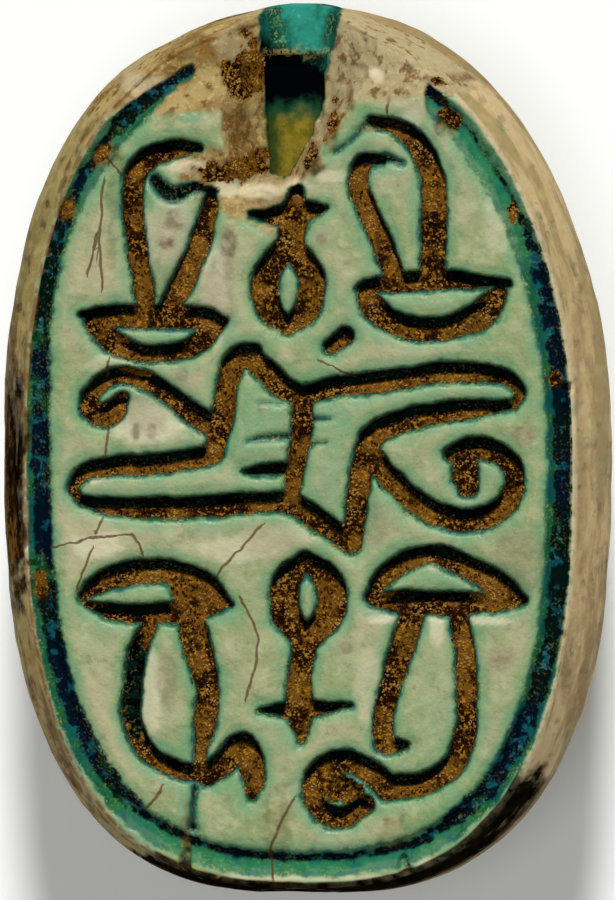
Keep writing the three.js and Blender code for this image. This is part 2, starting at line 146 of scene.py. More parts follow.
UPPER_RIGHT = [
    [(68, 171, 16), (102, 175, 22), (152, 178, 22), (209, 175, 12)],
    [(64, 168, 16), (74, 150, 28), (92, 136, 26), (122, 128, 27), (160, 132, 27),
     (186, 146, 32), (202, 166, 18)],
    [(96, 179, 24), (83, 215, 24), (67, 252, 24), (59, 275, 22), (66, 295, 20), (83, 297, 14)],
    [(134, 185, 28), (135, 232, 28), (134, 282, 27), (122, 309, 26), (99, 329, 20),
     (74, 336, 16)],
]
LEFT_CROWN = [
    [(-178, 56, 18), (-190, 42, 28), (-208, 42, 24), (-212, 58, 20), (-197, 74, 20),
     (-176, 80, 20), (-155, 75, 22), (-133, 62, 22), (-108, 42, 24), (-86, 29, 26)],
    [(-86, 5, 22), (-78, 37, 26), (-72, 72, 24), (-62, 99, 26), (-46, 105, 20)],
    [(-58, 103, 22), (-36, 89, 26), (-16, 69, 26), (2, 59, 24)],
    [(-86, 2, 24), (-113, -4, 24), (-148, -9, 23), (-188, -11, 22), (-216, -17, 18),
     (-228, -33, 14), (-220, -47, 12)],
    [(-222, -45, 12), (-188, -51, 22), (-138, -52, 25), (-83, -50, 25), (-36, -46, 24),
     (-3, -49, 24), (24, -67, 24), (52, -88, 22)],
]
RIGHT_CROWN = [
    [(3, 57, 24), (2, 22, 24), (-4, -11, 21), (-8, -38, 18)],
    [(2, 59, 24), (22, 67, 22), (62, 73, 24), (102, 78, 25), (142, 84, 24), (182, 85, 22),
     (210, 79, 18), (222, 65, 14), (216, 53, 12)],
    [(212, 53, 12), (177, 49, 22), (142, 45, 24), (107, 37, 26), (82, 27, 26), (70, 17, 26)],
    [(70, 17, 26), (64, -8, 26), (59, -38, 24), (56, -68, 24), (54, -88, 22)],
    [(74, -1, 26), (97, -27, 26), (127, -51, 26), (164, -64, 27), (197, -55, 26),
     (216, -31, 24), (212, -5, 25), (190, 9, 25), (168, 8, 26), (152, 3, 18)],
    [(167, 4, 24), (167, -15, 30), (170, -30, 24)],
]
LOWER_MIDDLE = [
    [(5, -103, 20), (-14, -128, 32), (-14, -156, 32), (2, -181, 28)],
    [(7, -103, 20), (31, -128, 32), (31, -156, 32), (10, -181, 28)],
    [(6, -183, 28), (1, -218, 26), (0, -255, 30), (1, -285, 10)],
    [(-40, -254, 8), (0, -254, 22), (52, -250, 8)],
]
LOWER_LEFT = [
    [(-218, -141, 14), (-200, -128, 24), (-163, -117, 28), (-123, -119, 30), (-95, -135, 34),
     (-70, -150, 12)],
    [(-118, -135, 28), (-100, -142, 34), (-84, -148, 20)],
    [(-214, -149, 10), (-188, -157, 20), (-148, -159, 24), (-108, -155, 26), (-86, -149, 24)],
    [(-152, -171, 20), (-164, -203, 22), (-169, -238, 23), (-167, -273, 23), (-151, -300, 22),
     (-123, -315, 20), (-93, -319, 24)],
    [(-110, -163, 28), (-101, -198, 31), (-93, -233, 27), (-95, -265, 26), (-99, -288, 18),
     (-101, -308, 14)],
    [(-93, -321, 26), (-74, -306, 28), (-58, -292, 32), (-50, -306, 32), (-46, -328, 22),
     (-48, -342, 12)],
]
LOWER_RIGHT = [
    [(70, -140, 12), (90, -116, 24), (132, -97, 22), (172, -111, 26), (202, -128, 30),
     (226, -143, 12)],
    [(70, -142, 12), (102, -145, 26), (142, -146, 28), (182, -146, 24), (224, -145, 10)],
    [(115, -155, 28), (103, -193, 27), (91, -233, 24), (85, -265, 22), (87, -287, 24),
     (104, -289, 14)],
    [(160, -155, 20), (167, -193, 24), (169, -243, 24), (166, -283, 24), (152, -311, 26),
     (122, -328, 26), (87, -331, 28)],
    [(87, -330, 30), (64, -311, 26), (40, -305, 26), (16, -323, 26), (16, -349, 24),
     (42, -363, 24), (66, -349, 22)],
]
FINE_CUTS = [
    [(-6, -13, 18), (-34, -13, 15), (-56, -15, 8)],
]
DEEP_CUTS = (
    UPPER_LEFT + UPPER_MIDDLE + UPPER_RIGHT + LEFT_CROWN + RIGHT_CROWN
    + LOWER_MIDDLE + LOWER_LEFT + LOWER_RIGHT + FINE_CUTS
)
LIGHT_CUTS = [
    [(-84, 266, 16), (-104, 270, 18), (-128, 262, 22), (-146, 276, 18)],
    [(68, 333, 10), (54, 319, 8), (37, 305, 8)],
    [(86, 299, 14), (104, 294, 10)],
    [(-8, 20, 12), (-33, 19, 10), (-52, 15, 7)],
    [(-10, 53, 6), (-40, 53, 5)],
    [(12, 37, 10), (32, 39, 6)],
    [(13, 12, 10), (28, 14, 6)],
    [(-105, -331, 12), (-107, -355, 10), (-108, -375, 14)],
    [(-115, -395, 8), (-114, -409, 10), (-116, -421, 10)],
    [(104, -401, 10), (110, -415, 12)],
]
# The ground inside the loop at the lower right is cut down too, and one stretch is free of earth.
SUNKEN = [(40, -333, 24, 14, 1)]
SWEPT = [(-166, -232, 16, 66, 0.9)]
# Places on the same grid where the surface has changed, as (across, along, half width, half length,
# strength): bare and grey-brown where the glaze has rubbed through, green where it lies thick, pale
# where it is cloudy or where a highlight is painted on a lit lip, brown where earth clings, and chipped.
WORN = [
    (-126, 235, 11, 11, 0.8), (-133, 214, 10, 8, 1), (-71, 211, 8, 17, 0.9), (-76, 186, 14, 16, 0.5),
    (-164, 25, 5, 10, 0.8), (-148, 24, 6, 10, 0.8), (-118, 80, 9, 9, 0.5), (-132, -223, 12, 30, 0.5),
    (227, 25, 14, 9, 0.7), (204, -201, 15, 12, 0.6), (48, -191, 8, 8, 0.6), (-36, 49, 6, 5, 0.6),
    (23, 219, 6, 8, 0.6), (77, -63, 16, 24, 0.35), (222, -103, 26, 36, 0.4), (-83, 157, 22, 30, 0.4),
    (-153, 45, 30, 22, 0.35), (-46, 342, 24, 34, 0.5), (-138, 352, 26, 16, 0.6), (-30, -85, 30, 20, 0.3),
    (112, 382, 30, 14, 0.7), (208, 275, 12, 40, 0.7), (243, 220, 9, 50, 0.6), (-128, 200, 26, 60, 0.3),
]
THICK_GLAZE = [
    (-36, 37, 28, 44, 0.8), (-36, -13, 24, 30, 0.6), (37, 37, 20, 30, 0.9), (37, -18, 20, 36, 0.6),
    (-150, 262, 22, 24, 0.9), (-103, 267, 24, 9, 0.8), (-148, -28, 70, 9, 0.6), (137, 159, 56, 10, 0.7),
    (-138, 122, 50, 9, 0.8), (137, -118, 44, 11, 0.8), (-13, 169, 9, 13, 0.7), (188, -12, 10, 18, 0.7),
    (-108, 342, 12, 10, 0.9), (-1, 240, 20, 12, 0.3), (142, -250, 26, 70, 0.3), (47, -352, 14, 8, 0.7),
    (-178, -150, 34, 7, 0.7), (155, 62, 60, 7, 0.7), (88, 298, 16, 12, 0.9),
]
# The thin strips along the lips below cuts and along the lower edge of the break are painted highlights;
# the rest is cloudy glaze.
MILKY_AND_HIGHLIGHT = [
    (-106, 290, 34, 6, 0.9), (-72, 272, 14, 12, 1), (-40, 266, 28, 7, 0.9), (0, 273, 16, 6, 0.7),
    (34, 281, 22, 6, 0.7), (66, 299, 16, 8, 0.6), (77, 382, 9, 8, 1), (84, -162, 16, 4, 0.9),
    (195, -163, 28, 4, 0.9), (139, -168, 8, 18, 0.8), (254, 245, 5, 24, 0.8), (276, 20, 4, 60, 0.8),
    (-207, -24, 9, 5, 0.9), (-126, 228, 24, 40, 0.5), (-160, 372, 26, 10, 0.5), (-277, -60, 4, 70, 0.7),
    (262, 70, 6, 5, 0.9), (271, -64, 6, 7, 0.9), (0, -421, 80, 5, 0.8), (124, -405, 40, 5, 0.7),
    (-205, -90, 30, 14, 0.8), (-150, -235, 12, 44, 0.8), (-60, -92, 50, 14, 0.7),
    (145, -95, 26, 14, 0.7), (-85, 165, 16, 50, 0.8), (-152, 215, 12, 30, 0.7),
    (70, -230, 14, 40, 0.5), (200, 240, 14, 40, 0.5), (113, 335, 12, 14, 0.7),
    (-20, -80, 36, 12, 0.5), (-150, 30, 40, 22, 0.9), (-188, 90, 22, 12, 0.5),
]
STAINED = [
    (-56, 384, 19, 34, 1), (-68, 287, 34, 13, 1), (-62, 340, 11, 20, 0.7), (50, 360, 8, 16, 0.7),
    (34, 330, 10, 22, 0.9), (12, 296, 12, 20, 1), (2, 401, 20, 5, 1), (143, 378, 16, 5, 0.9),
    (168, 377, 18, 4, 0.9), (-101, 405, 26, 14, 0.6), (149, 337, 13, 14, 1), (215, 242, 6, 13, 0.9),
    (-233, 245, 9, 10, 0.8), (-196, 297, 18, 12, 0.8), (256, 78, 8, 8, 0.8), (-30, 300, 22, 8, 0.8),
    (-295, 10, 16, 60, 0.9), (-296, -70, 16, 70, 0.9), (-285, 205, 14, 24, 0.7),
    (-262, -128, 9, 16, 0.8), (281, -10, 4, 80, 0.5), (268, -220, 6, 60, 0.6),
    (279, 120, 4, 70, 0.5), (-188, 235, 5, 60, 0.3),
    (78, 330, 26, 5, 0.7), (-115, -386, 7, 30, 0.6), (-20, -365, 16, 40, 0.3), (96, -375, 14, 14, 0.5),
]
# Stretches of the border line where the glaze stayed green, and of the wall that are stained nearly
# black or painted nearly black as shade, above all at the tail end.
GREEN_LINE = [
    (190, 300, 70, 110, 1), (0, -400, 190, 44, 0.7), (-205, 285, 40, 50, 0.5), (-120, -380, 60, 40, 0.6),
]
WALL_STAIN_AND_SHADE = [
    (30, -446, 230, 50, 1), (160, -405, 80, 60, 1), (-296, -40, 24, 130, 0.85), (210, -384, 84, 70, 0.9),
    (-120, -425, 60, 40, 0.8),
]
# Each list by the name of its attribute, with how ragged the edges of its places are.
EVEN = 0.45
SPOT_LISTS = {
    "worn": (WORN, EVEN), "thick": (THICK_GLAZE, EVEN), "milky": (MILKY_AND_HIGHLIGHT, EVEN),
    "stained": (STAINED, 0.85), "green": (GREEN_LINE, EVEN), "dark": (WALL_STAIN_AND_SHADE, EVEN),
}
# Small chips in the rims, with their depth in hundredths of a millimetre last.
CHIPS = [
    (270, 71, 7, 5, 24), (267, -58, 6, 5, 18), (105, -409, 6, 10, 26), (-114, -409, 5, 13, 26),
    (-278, 210, 10, 8, 14), (-282, 16, 12, 30, 20), (-286, -70, 12, 60, 22), (-272, -110, 8, 4, 16),
    (240, 240, 6, 10, 12), (255, 205, 7, 12, 12), (-230, -320, 10, 8, 12), (190, 352, 12, 9, 12),
]
# Hair cracks in the glaze, as (across, along) on the same grid.
CRACKS = [
    [(-195, 277), (-200, 227), (-198, 167)],
    [(-203, 222), (-213, 182)],
    [(-248, -93), (-168, -78), (-158, -98)],
    [(-208, -93), (-223, -133)],
    [(-191, 97), (-196, 79)],
    [(-193, 27), (-195, 2)],
    [(-198, -63), (-205, -78)],
    [(-83, -118), (-36, -68)],
    [(-58, -143), (-40, -183), (-53, -243)],
    [(-138, -333), (-153, -353)],
    [(-5, -343), (-28, -393), (-26, -433)],
    [(22, 97), (52, 82)],
    [(142, 357), (167, 372), (182, 379)],
    [(87, 417), (90, 347)],
    [(262, 262), (277, 237)],
    [(-203, 307), (-178, 282)],
]


def smooth(value, middle, spread):
    """Smooth step from 0 to 1, centred on middle."""
    share = np.clip((value - middle) / spread + 0.5, 0, 1)
    return share * share * (3 - 2 * share)


def fade(value, start, end):
    """Smooth step from 0 at start to 1 at end."""
    share = np.clip((value - start) / (end - start), 0, 1)
    return share * share * (3 - 2 * share)


def oval_radius(angle, across, along):
    """Distance in mm from the middle to the rim of the stone's oval, at an angle."""
    c, s = np.cos(angle), np.sin(angle)
    head = np.where(c >= 0, FULLNESS_HEAD_RIGHT, FULLNESS_HEAD_LEFT)
    power = np.where(s >= 0, head, FULLNESS_TAIL)
    return (np.abs(c / across) ** power + np.abs(s / along) ** power) ** (-1 / power)


def oval_reach(x, y, across, along):
    """Distance out from the middle, as a share of the distance to the oval's rim."""
    return np.hypot(x, y) / oval_radius(np.arctan2(y, x), across, along)


def oval_point(eccentric, across, along, reach=1.0):
    """A place in the oval in mm, from its eccentric angle and its share of the way to the rim."""
    angle = np.arctan2(along * np.sin(eccentric), across * np.cos(eccentric))
    radius = reach * oval_radius(angle, across, along)
    return radius * np.cos(angle), radius * np.sin(angle)


def roughness_at(points, size, octaves, seed):
    """Fractal noise at points, about -1 to 1, whose largest lumps are of that size in mm."""
    shift = Vector((seed * 17.31, seed * 7.77, seed * 3.19))
    return np.array(
        [
            noise.fractal(Vector(p) / size + shift, 0.9, 2.1, octaves)
            for p in points.tolist()
        ]
    )


def curve_through(points, per_span):
    """A centripetal curve through points, as rows of mm and half width."""
    scale = np.array(
        [
            2 * FACE_HALF_WIDTH / LAYOUT_ACROSS,
            2 * FACE_HALF_LENGTH / LAYOUT_ALONG,
            GOUGE_WIDTH / LAYOUT_GOUGE / 2,
        ]
    )
    knots = np.array([p if len(p) == 3 else (*p, 0) for p in points], float) * scale
    ends = [2 * knots[0] - knots[1], *knots, 2 * knots[-1] - knots[-2]]
    rows = []
    for a, b, c, d in zip(ends, ends[1:], ends[2:], ends[3:]):
        t = np.cumsum([0] + [max(1e-6, np.linalg.norm(q - p)) ** 0.5
                             for p, q in ((a, b), (b, c), (c, d))])
        for x in np.linspace(t[1], t[2], per_span, endpoint=False):
            ab = (a * (t[1] - x) + b * (x - t[0])) / (t[1] - t[0])
            bc = (b * (t[2] - x) + c * (x - t[1])) / (t[2] - t[1])
            cd = (c * (t[3] - x) + d * (x - t[2])) / (t[3] - t[2])
            abc = (ab * (t[2] - x) + bc * (x - t[0])) / (t[2] - t[0])
            bcd = (bc * (t[3] - x) + cd * (x - t[1])) / (t[3] - t[1])
            rows.append((abc * (t[2] - x) + bcd * (x - t[1])) / (t[2] - t[1]))
    rows.append(knots[-1])
    return np.array(rows)


# Distances from cuts and from cracks are followed this far.
FAR = 1.5
CRACK_FAR = 0.6


def distance_to_cuts(x, y, cuts, per_span=5, far=FAR, sides=False):
    """Signed distance in mm from places to the rims of cuts, negative inside one; with sides, also
    on which side of the nearest cut each place lies, as 1 or -1."""
    nearest = np.full(x.shape, far)
    side = np.ones(x.shape)
    for cut in cuts:
        line = curve_through(cut, per_span)
        low, high = line[:, :2].min(0) - far, line[:, :2].max(0) + far
        near = np.nonzero((x > low[0]) & (x < high[0]) & (y > low[1]) & (y < high[1]))[0]
        px, py = x[near], y[near]
        best, which = nearest[near], side[near]
        for a, b in zip(line, line[1:]):
            run = b[:2] - a[:2]
            share = ((px - a[0]) * run[0] + (py - a[1]) * run[1]) / max(1e-9, run @ run)
            share = np.clip(share, 0, 1)
            off = np.hypot(px - a[0] - share * run[0], py - a[1] - share * run[1])
            off = off - (a[2] + share * (b[2] - a[2]))
            turn = np.sign(run[0] * (py - a[1]) - run[1] * (px - a[0]))
            which = np.where(off < best, turn, which)
            best = np.minimum(best, off)
        nearest[near], side[near] = best, which
    return (nearest, side) if sides else nearest


def spots(x, y, places, spread, ragged):
    """How much the listed places cover (x, y), from 0 to 1; spread is how ragged their edges are."""
    cover = np.zeros_like(x)
    step_x = 2 * FACE_HALF_WIDTH / LAYOUT_ACROSS
    step_y = 2 * FACE_HALF_LENGTH / LAYOUT_ALONG
    for across, along, half_x, half_y, strength in places:
        off = np.hypot((x - across * step_x) / (half_x * step_x),
                       (y - along * step_y) / (half_y * step_y))
        cover = np.maximum(cover, strength * fade(1.25 - off + spread * ragged, 0, 0.6))
    return cover


def edge_distance(x, y):
    """Distance in mm in from the edge of the face."""
    edge = oval_radius(np.arctan2(y, x), FACE_HALF_WIDTH, FACE_HALF_LENGTH)
    return edge - np.hypot(x, y)


def distance_to_border(x, y):
    """Signed distance in mm from the rims of the oval border line."""
    across = FACE_HALF_WIDTH - BORDER_INSET_SIDE
    along = FACE_HALF_LENGTH - BORDER_INSET_END

    def level(px, py):
        return oval_reach(px, py, across, along)

    # The line was cut by hand and strays outwards at the upper left.
    x = x + 0.2 * left_bulge(x, y)
    step = 0.01
    slope = np.hypot(level(x + step, y) - level(x - step, y),
                     level(x, y + step) - level(x, y - step)) / (2 * step)
    return np.abs(level(x, y) - 1) / np.maximum(slope, 1e-3) - BORDER_WIDTH / 2


def left_bulge(x, y):
    """How much the upper left side swells outwards, from 0 to 1."""
    return np.exp(-(((y - 3.9) / 2.3) ** 2)) * fade(-x, 1, 4.5)


def flake_depth(x, y, sides):
    """Depth of a flake: the least of its sloping planes, 0 outside it."""
    depth = np.full(x.shape, 9.0)
    for px, py, heading, slope, lip in sides:
        turn = math.radians(heading)
        run = (x - px) * math.cos(turn) + (y - py) * math.sin(turn)
        depth = np.minimum(depth, lip + slope * run)
    return np.maximum(depth, 0)


def broken_depth(x, y):
    """Depth of the broken head end below the face."""
    lip_y = HALF_LENGTH - BREAK_LENGTH
    left = HOLE_ASIDE - BREAK_WIDTH * 0.52
    right = HOLE_ASIDE + BREAK_WIDTH * 0.48

    def from_lip(share):
        return lip_y + share * BREAK_LENGTH

    level_floor = (HOLE_ASIDE, from_lip(0.55), 90, 0.02, SCAR_DEPTH)
    over_hole = [
        (HOLE_ASIDE, lip_y, 97, 3.9, 0),
        (HOLE_ASIDE, lip_y, 110, 0.25, BREAK_LIP),
        (left, from_lip(0.45), 7, BREAK_WALL, 0),
        (right, from_lip(0.49), 148, 2.3, 0),
        (right + BREAK_WIDTH * 0.24, from_lip(0.55), 176, 0.9, 0),
    ]
    right_scar = [
        (right, from_lip(0.45), 94, 0.3, 0),
        (right + BREAK_WIDTH * 0.85, from_lip(0.58), 168, 0.5, 0),
        level_floor,
    ]
    left_apron = [
        (left - BREAK_WIDTH * 0.4, from_lip(-0.02), 65, 0.3, 0),
        (left - BREAK_WIDTH * 0.35, from_lip(0.1), 0, 0.25, 0),
        (left - BREAK_WIDTH * 0.2, from_lip(0.28), -105, 0.35, 0),
        (HOLE_ASIDE, from_lip(0), 180, 0.4, 0),
    ]
    left_scar = [
        (left, from_lip(0.71), 115, 0.35, 0),
        (left + BREAK_WIDTH * 0.07, from_lip(0.55), 180, 2, 0),
        level_floor,
    ]
    flakes = (over_hole, right_scar, left_scar, left_apron)
    return np.maximum.reduce([flake_depth(x, y, sides) for sides in flakes])


class FaceRelief:
    """What the carved face is like at places on it: depths and distances in mm."""

    def __init__(self, x, y):
        flat = np.column_stack([x, y, np.zeros_like(x)])
        wobble = roughness_at(flat, 0.55, 3, 1)
        fine = roughness_at(flat, 0.16, 2, 2)
        shifted = x + 0.035 * wobble, y + 0.035 * roughness_at(flat, 0.5, 3, 3)
        self.cut = distance_to_cuts(*shifted, DEEP_CUTS) + 0.012 * fine
        upper = distance_to_cuts(shifted[0] + 0.02, shifted[1] + 0.26, DEEP_CUTS)
        self.light = distance_to_cuts(*shifted, LIGHT_CUTS)
        self.border = distance_to_border(*shifted)
        # The nearly black middle of the border line is set off up and to the right, to the side where
        # the border line's shadow falls: painted shade.
        self.core = distance_to_border(shifted[0] - 0.05, shifted[1] - 0.11)
        self.crack, self.crack_side = distance_to_cuts(
            x + 0.05 * wobble, y + 0.05 * fine, CRACKS, per_span=2, far=CRACK_FAR, sides=True
        )
        deep = (GOUGE_DEPTH + 0.04 * wobble) * fade(-self.cut, -0.03, 0.13)
        # Earth fills the lower part of each cut and leaves a gap along its upper wall, where the shadow
        # falls; the glaze there is painted nearly black, as painted shade.
        earth_top = EARTH_TOP + 0.05 * wobble + 0.05 * fine
        packed = fade(-upper, -0.04, 0.06) * fade(-self.cut, 0.015, 0.07)
        self.earth = packed * fade(deep, 0.2, 0.3)
        deep = deep - self.earth * np.maximum(deep - earth_top, 0)
        sunken = spots(x, y, SUNKEN, EVEN, fine)
        deep = np.maximum(deep, 0.25 * sunken)
        self.earth = np.maximum(self.earth, sunken) * (1 - spots(x, y, SWEPT, EVEN, fine))
        self.cut = np.where(sunken > 0.05, np.minimum(self.cut, 0.05 - 0.2 * sunken), self.cut)
        light = LIGHT_CUT_DEPTH * fade(-self.light, -0.04, 0.12)
        # The border line is gone where the head end has flaked.
        gone = fade(y, 4.8, 5.4) * fade(x, -2.15, -1.9) * fade(-x, -2.6, -2.35)
        self.border = self.border + gone
        border = (BORDER_DEPTH + 0.04 * wobble) * fade(-self.border, -0.08, 0.26)
        carved = np.maximum.reduce([deep, light, border])
        torn = broken_depth(x + 0.08 * wobble, y + 0.08 * fine)
        torn = np.where(torn > 0, torn + (0.06 * wobble + 0.035 * fine) * fade(torn, 0, 0.3), 0)
        self.broken = fade(torn - carved, 0.0, 0.06)
        self.earth = self.earth * (1 - self.broken)
        ragged = 0.6 * wobble + 0.4 * fine
        self.cover = {name: spots(x, y, *listed, ragged) for name, listed in SPOT_LISTS.items()}
        stained = self.cover["stained"]
        chips = spots(x, y, CHIPS, EVEN, 0.8 * ragged) / 100
        rim = edge_distance(x, y)
        rounded = 0.05 * fade(rim, 0.3, 0) ** 2 + 0.04 * fade(rim, 0.4, 0.1) * wobble
        pillow = 0.035 * fade(np.minimum(self.cut, self.border), 0.25, 0)
        swell = 0.018 * roughness_at(flat, 2.2, 2, 4) + 0.007 * fine
        swell = swell * (1 - fade(-self.cut, 0, 0.1)) + pillow + np.maximum(rounded, -0.02)
        self.depth = np.maximum(carved, torn) + swell + chips + SKIN
        # Lumps of earth stand a little proud where they cling to the break.
        lump = stained * self.broken
        self.depth = np.maximum(self.depth - lump * (0.05 + 0.05 * fine), 0.004)
        self.earth = np.maximum(self.earth, fade(lump, 0.55, 0.9))
        self.earth = np.maximum(self.earth, 0.8 * fade(stained * fade(border, 0.1, 0.2), 0.4, 0.8))
        self.earth = self.earth * fade(self.depth, 0.07, 0.12)


def back_depth(x, y):
    """Depth of the back's surface below the face."""

    def dome(reach):
        return (1 - np.minimum(1, reach) ** 2.6) ** (1 / 1.9)

    reach = oval_reach(x, y, BACK_HALF_WIDTH, BACK_HALF_LENGTH)
    rise = np.minimum(1, dome(reach) / dome(SPOT_REACH))
    neck = HALF_LENGTH - HEAD_LENGTH
    front = 1 - HEAD_DROP * smooth(y, neck, NECK_SLOPE)
    beside = smooth(np.abs(x), HEAD_WIDTH / 2, CHEEK_SLOPE)
    cheek = 1 - CHEEK_DROP * beside * smooth(y, neck + CHEEK_SLOPE / 2, CHEEK_SLOPE)
    return BACK_DEPTH + (HEIGHT - BACK_DEPTH) * rise * front * cheek


def vee(distance):
    """Depth of a scored line at a distance from its middle."""
    return SCORE_DEPTH * (1 - fade(distance, 0, SCORE_WIDTH / 2))


def back_scores(x, y):
    """Depth of the lines scored into the back."""
    reach = oval_reach(x, y, BACK_HALF_WIDTH, BACK_HALF_LENGTH)
    wing_line = WING_LINE_Y - WING_LINE_BOW * (x / BACK_HALF_WIDTH) ** 2
    seam = np.where(y < wing_line, np.abs(x), 9)
    front = np.where(np.abs(x) < BACK_HALF_WIDTH * 0.9, np.abs(y - wing_line), 9)
    rim = np.where(y < wing_line, np.abs(reach - 0.88) * BACK_HALF_WIDTH, 9)
    head_y = HALF_LENGTH - HEAD_LENGTH
    nape = np.where(np.abs(x) < HEAD_WIDTH * 0.45, np.abs(y - head_y - NECK_SLOPE * 0.3), 9)
    lines = [seam, front, rim, nape]
    for side in (-1, 1):
        ax, ay = side * HEAD_WIDTH * 0.11, head_y + HEAD_LENGTH * 0.45
        bx, by = side * HEAD_WIDTH * 0.21, head_y + HEAD_LENGTH * 0.82
        run = np.array([bx - ax, by - ay])
        share = np.clip(((x - ax) * run[0] + (y - ay) * run[1]) / (run @ run), 0, 1)
        lines.append(np.hypot(x - ax - share * run[0], y - ay - share * run[1]))
    return np.maximum.reduce([vee(line) for line in lines])


# Degrees round the side at which each leg line starts, on the plate, and ends, on the back.
LEG_LINES = [(52, 34), (26, 12), (-4, -18), (-30, -44), (-56, -68)]


def leg_scores(eccentric, depth):
    """Depth of the slanting lines on the leg band."""
    share = (depth - PLATE_DEPTH - STEP_HEIGHT) / (LEG_BAND_HEIGHT - 2 * STEP_HEIGHT)
    degrees = np.degrees(np.arctan2(np.sin(eccentric), np.abs(np.cos(eccentric))))
    cut = np.zeros_like(eccentric)
    if share < -0.1 or share > 1.1:
        return cut
    for start, end in LEG_LINES:
        off = np.abs(degrees - start - share * (end - start)) * math.radians(1) * LEG_BAND_RADIUS
        cut = np.maximum(cut, vee(off))
    return cut


def grid_turns(cells_x, cells_y):
    """Even places of a grid's rim as (column, row), going round from its lowest corner."""
    bottom = [(i, 0) for i in range(cells_x)]
    right = [(cells_x, j) for j in range(cells_y)]
    top = [(cells_x - i, cells_y) for i in range(cells_x)]
    left = [(0, cells_y - j) for j in range(cells_y)]
    return bottom + right + top + left


def disc_grid(cells_x, cells_y):
    """An even grid laid over a disc: reach from the middle and eccentric angle."""
    u, v = np.meshgrid(np.linspace(-1, 1, cells_x + 1), np.linspace(-1, 1, cells_y + 1))
    a = u * np.sqrt(1 - v * v / 2)
    b = v * np.sqrt(1 - u * u / 2)
    return np.hypot(a, b).ravel(), np.arctan2(b, a).ravel()


def side_rings():
    """Rings down the side, as (depth, inset at the sides, inset at the ends)."""
    key = [
        (0.05, PLATE_FLARE_SIDE + PLATE_EDGE_WEAR, PLATE_FLARE_END + PLATE_EDGE_WEAR),
        (0.13, PLATE_FLARE_SIDE, PLATE_FLARE_END),
        (PLATE_DEPTH * 0.6, PLATE_FLARE_SIDE * 0.25, PLATE_FLARE_END * 0.25),
        (PLATE_DEPTH, 0, 0),
        (PLATE_DEPTH + STEP_HEIGHT, LEG_BAND_INSET, LEG_BAND_INSET),
        (BACK_DEPTH - STEP_HEIGHT, LEG_BAND_INSET, LEG_BAND_INSET),
        (BACK_DEPTH, BACK_INSET, BACK_INSET),
    ]
    steps = [1, 6, 4, 3, 16, 2]
    rings = []
    for start, end, count in zip(key, key[1:], steps):
        for k in range(count):
            rings.append(tuple(p + (q - p) * k / count for p, q in zip(start, end)))
    return rings[1:] + [key[-1]]


# The rings down to here are as fine as the face; the rest have half as many places.
FINE_RINGS = 10


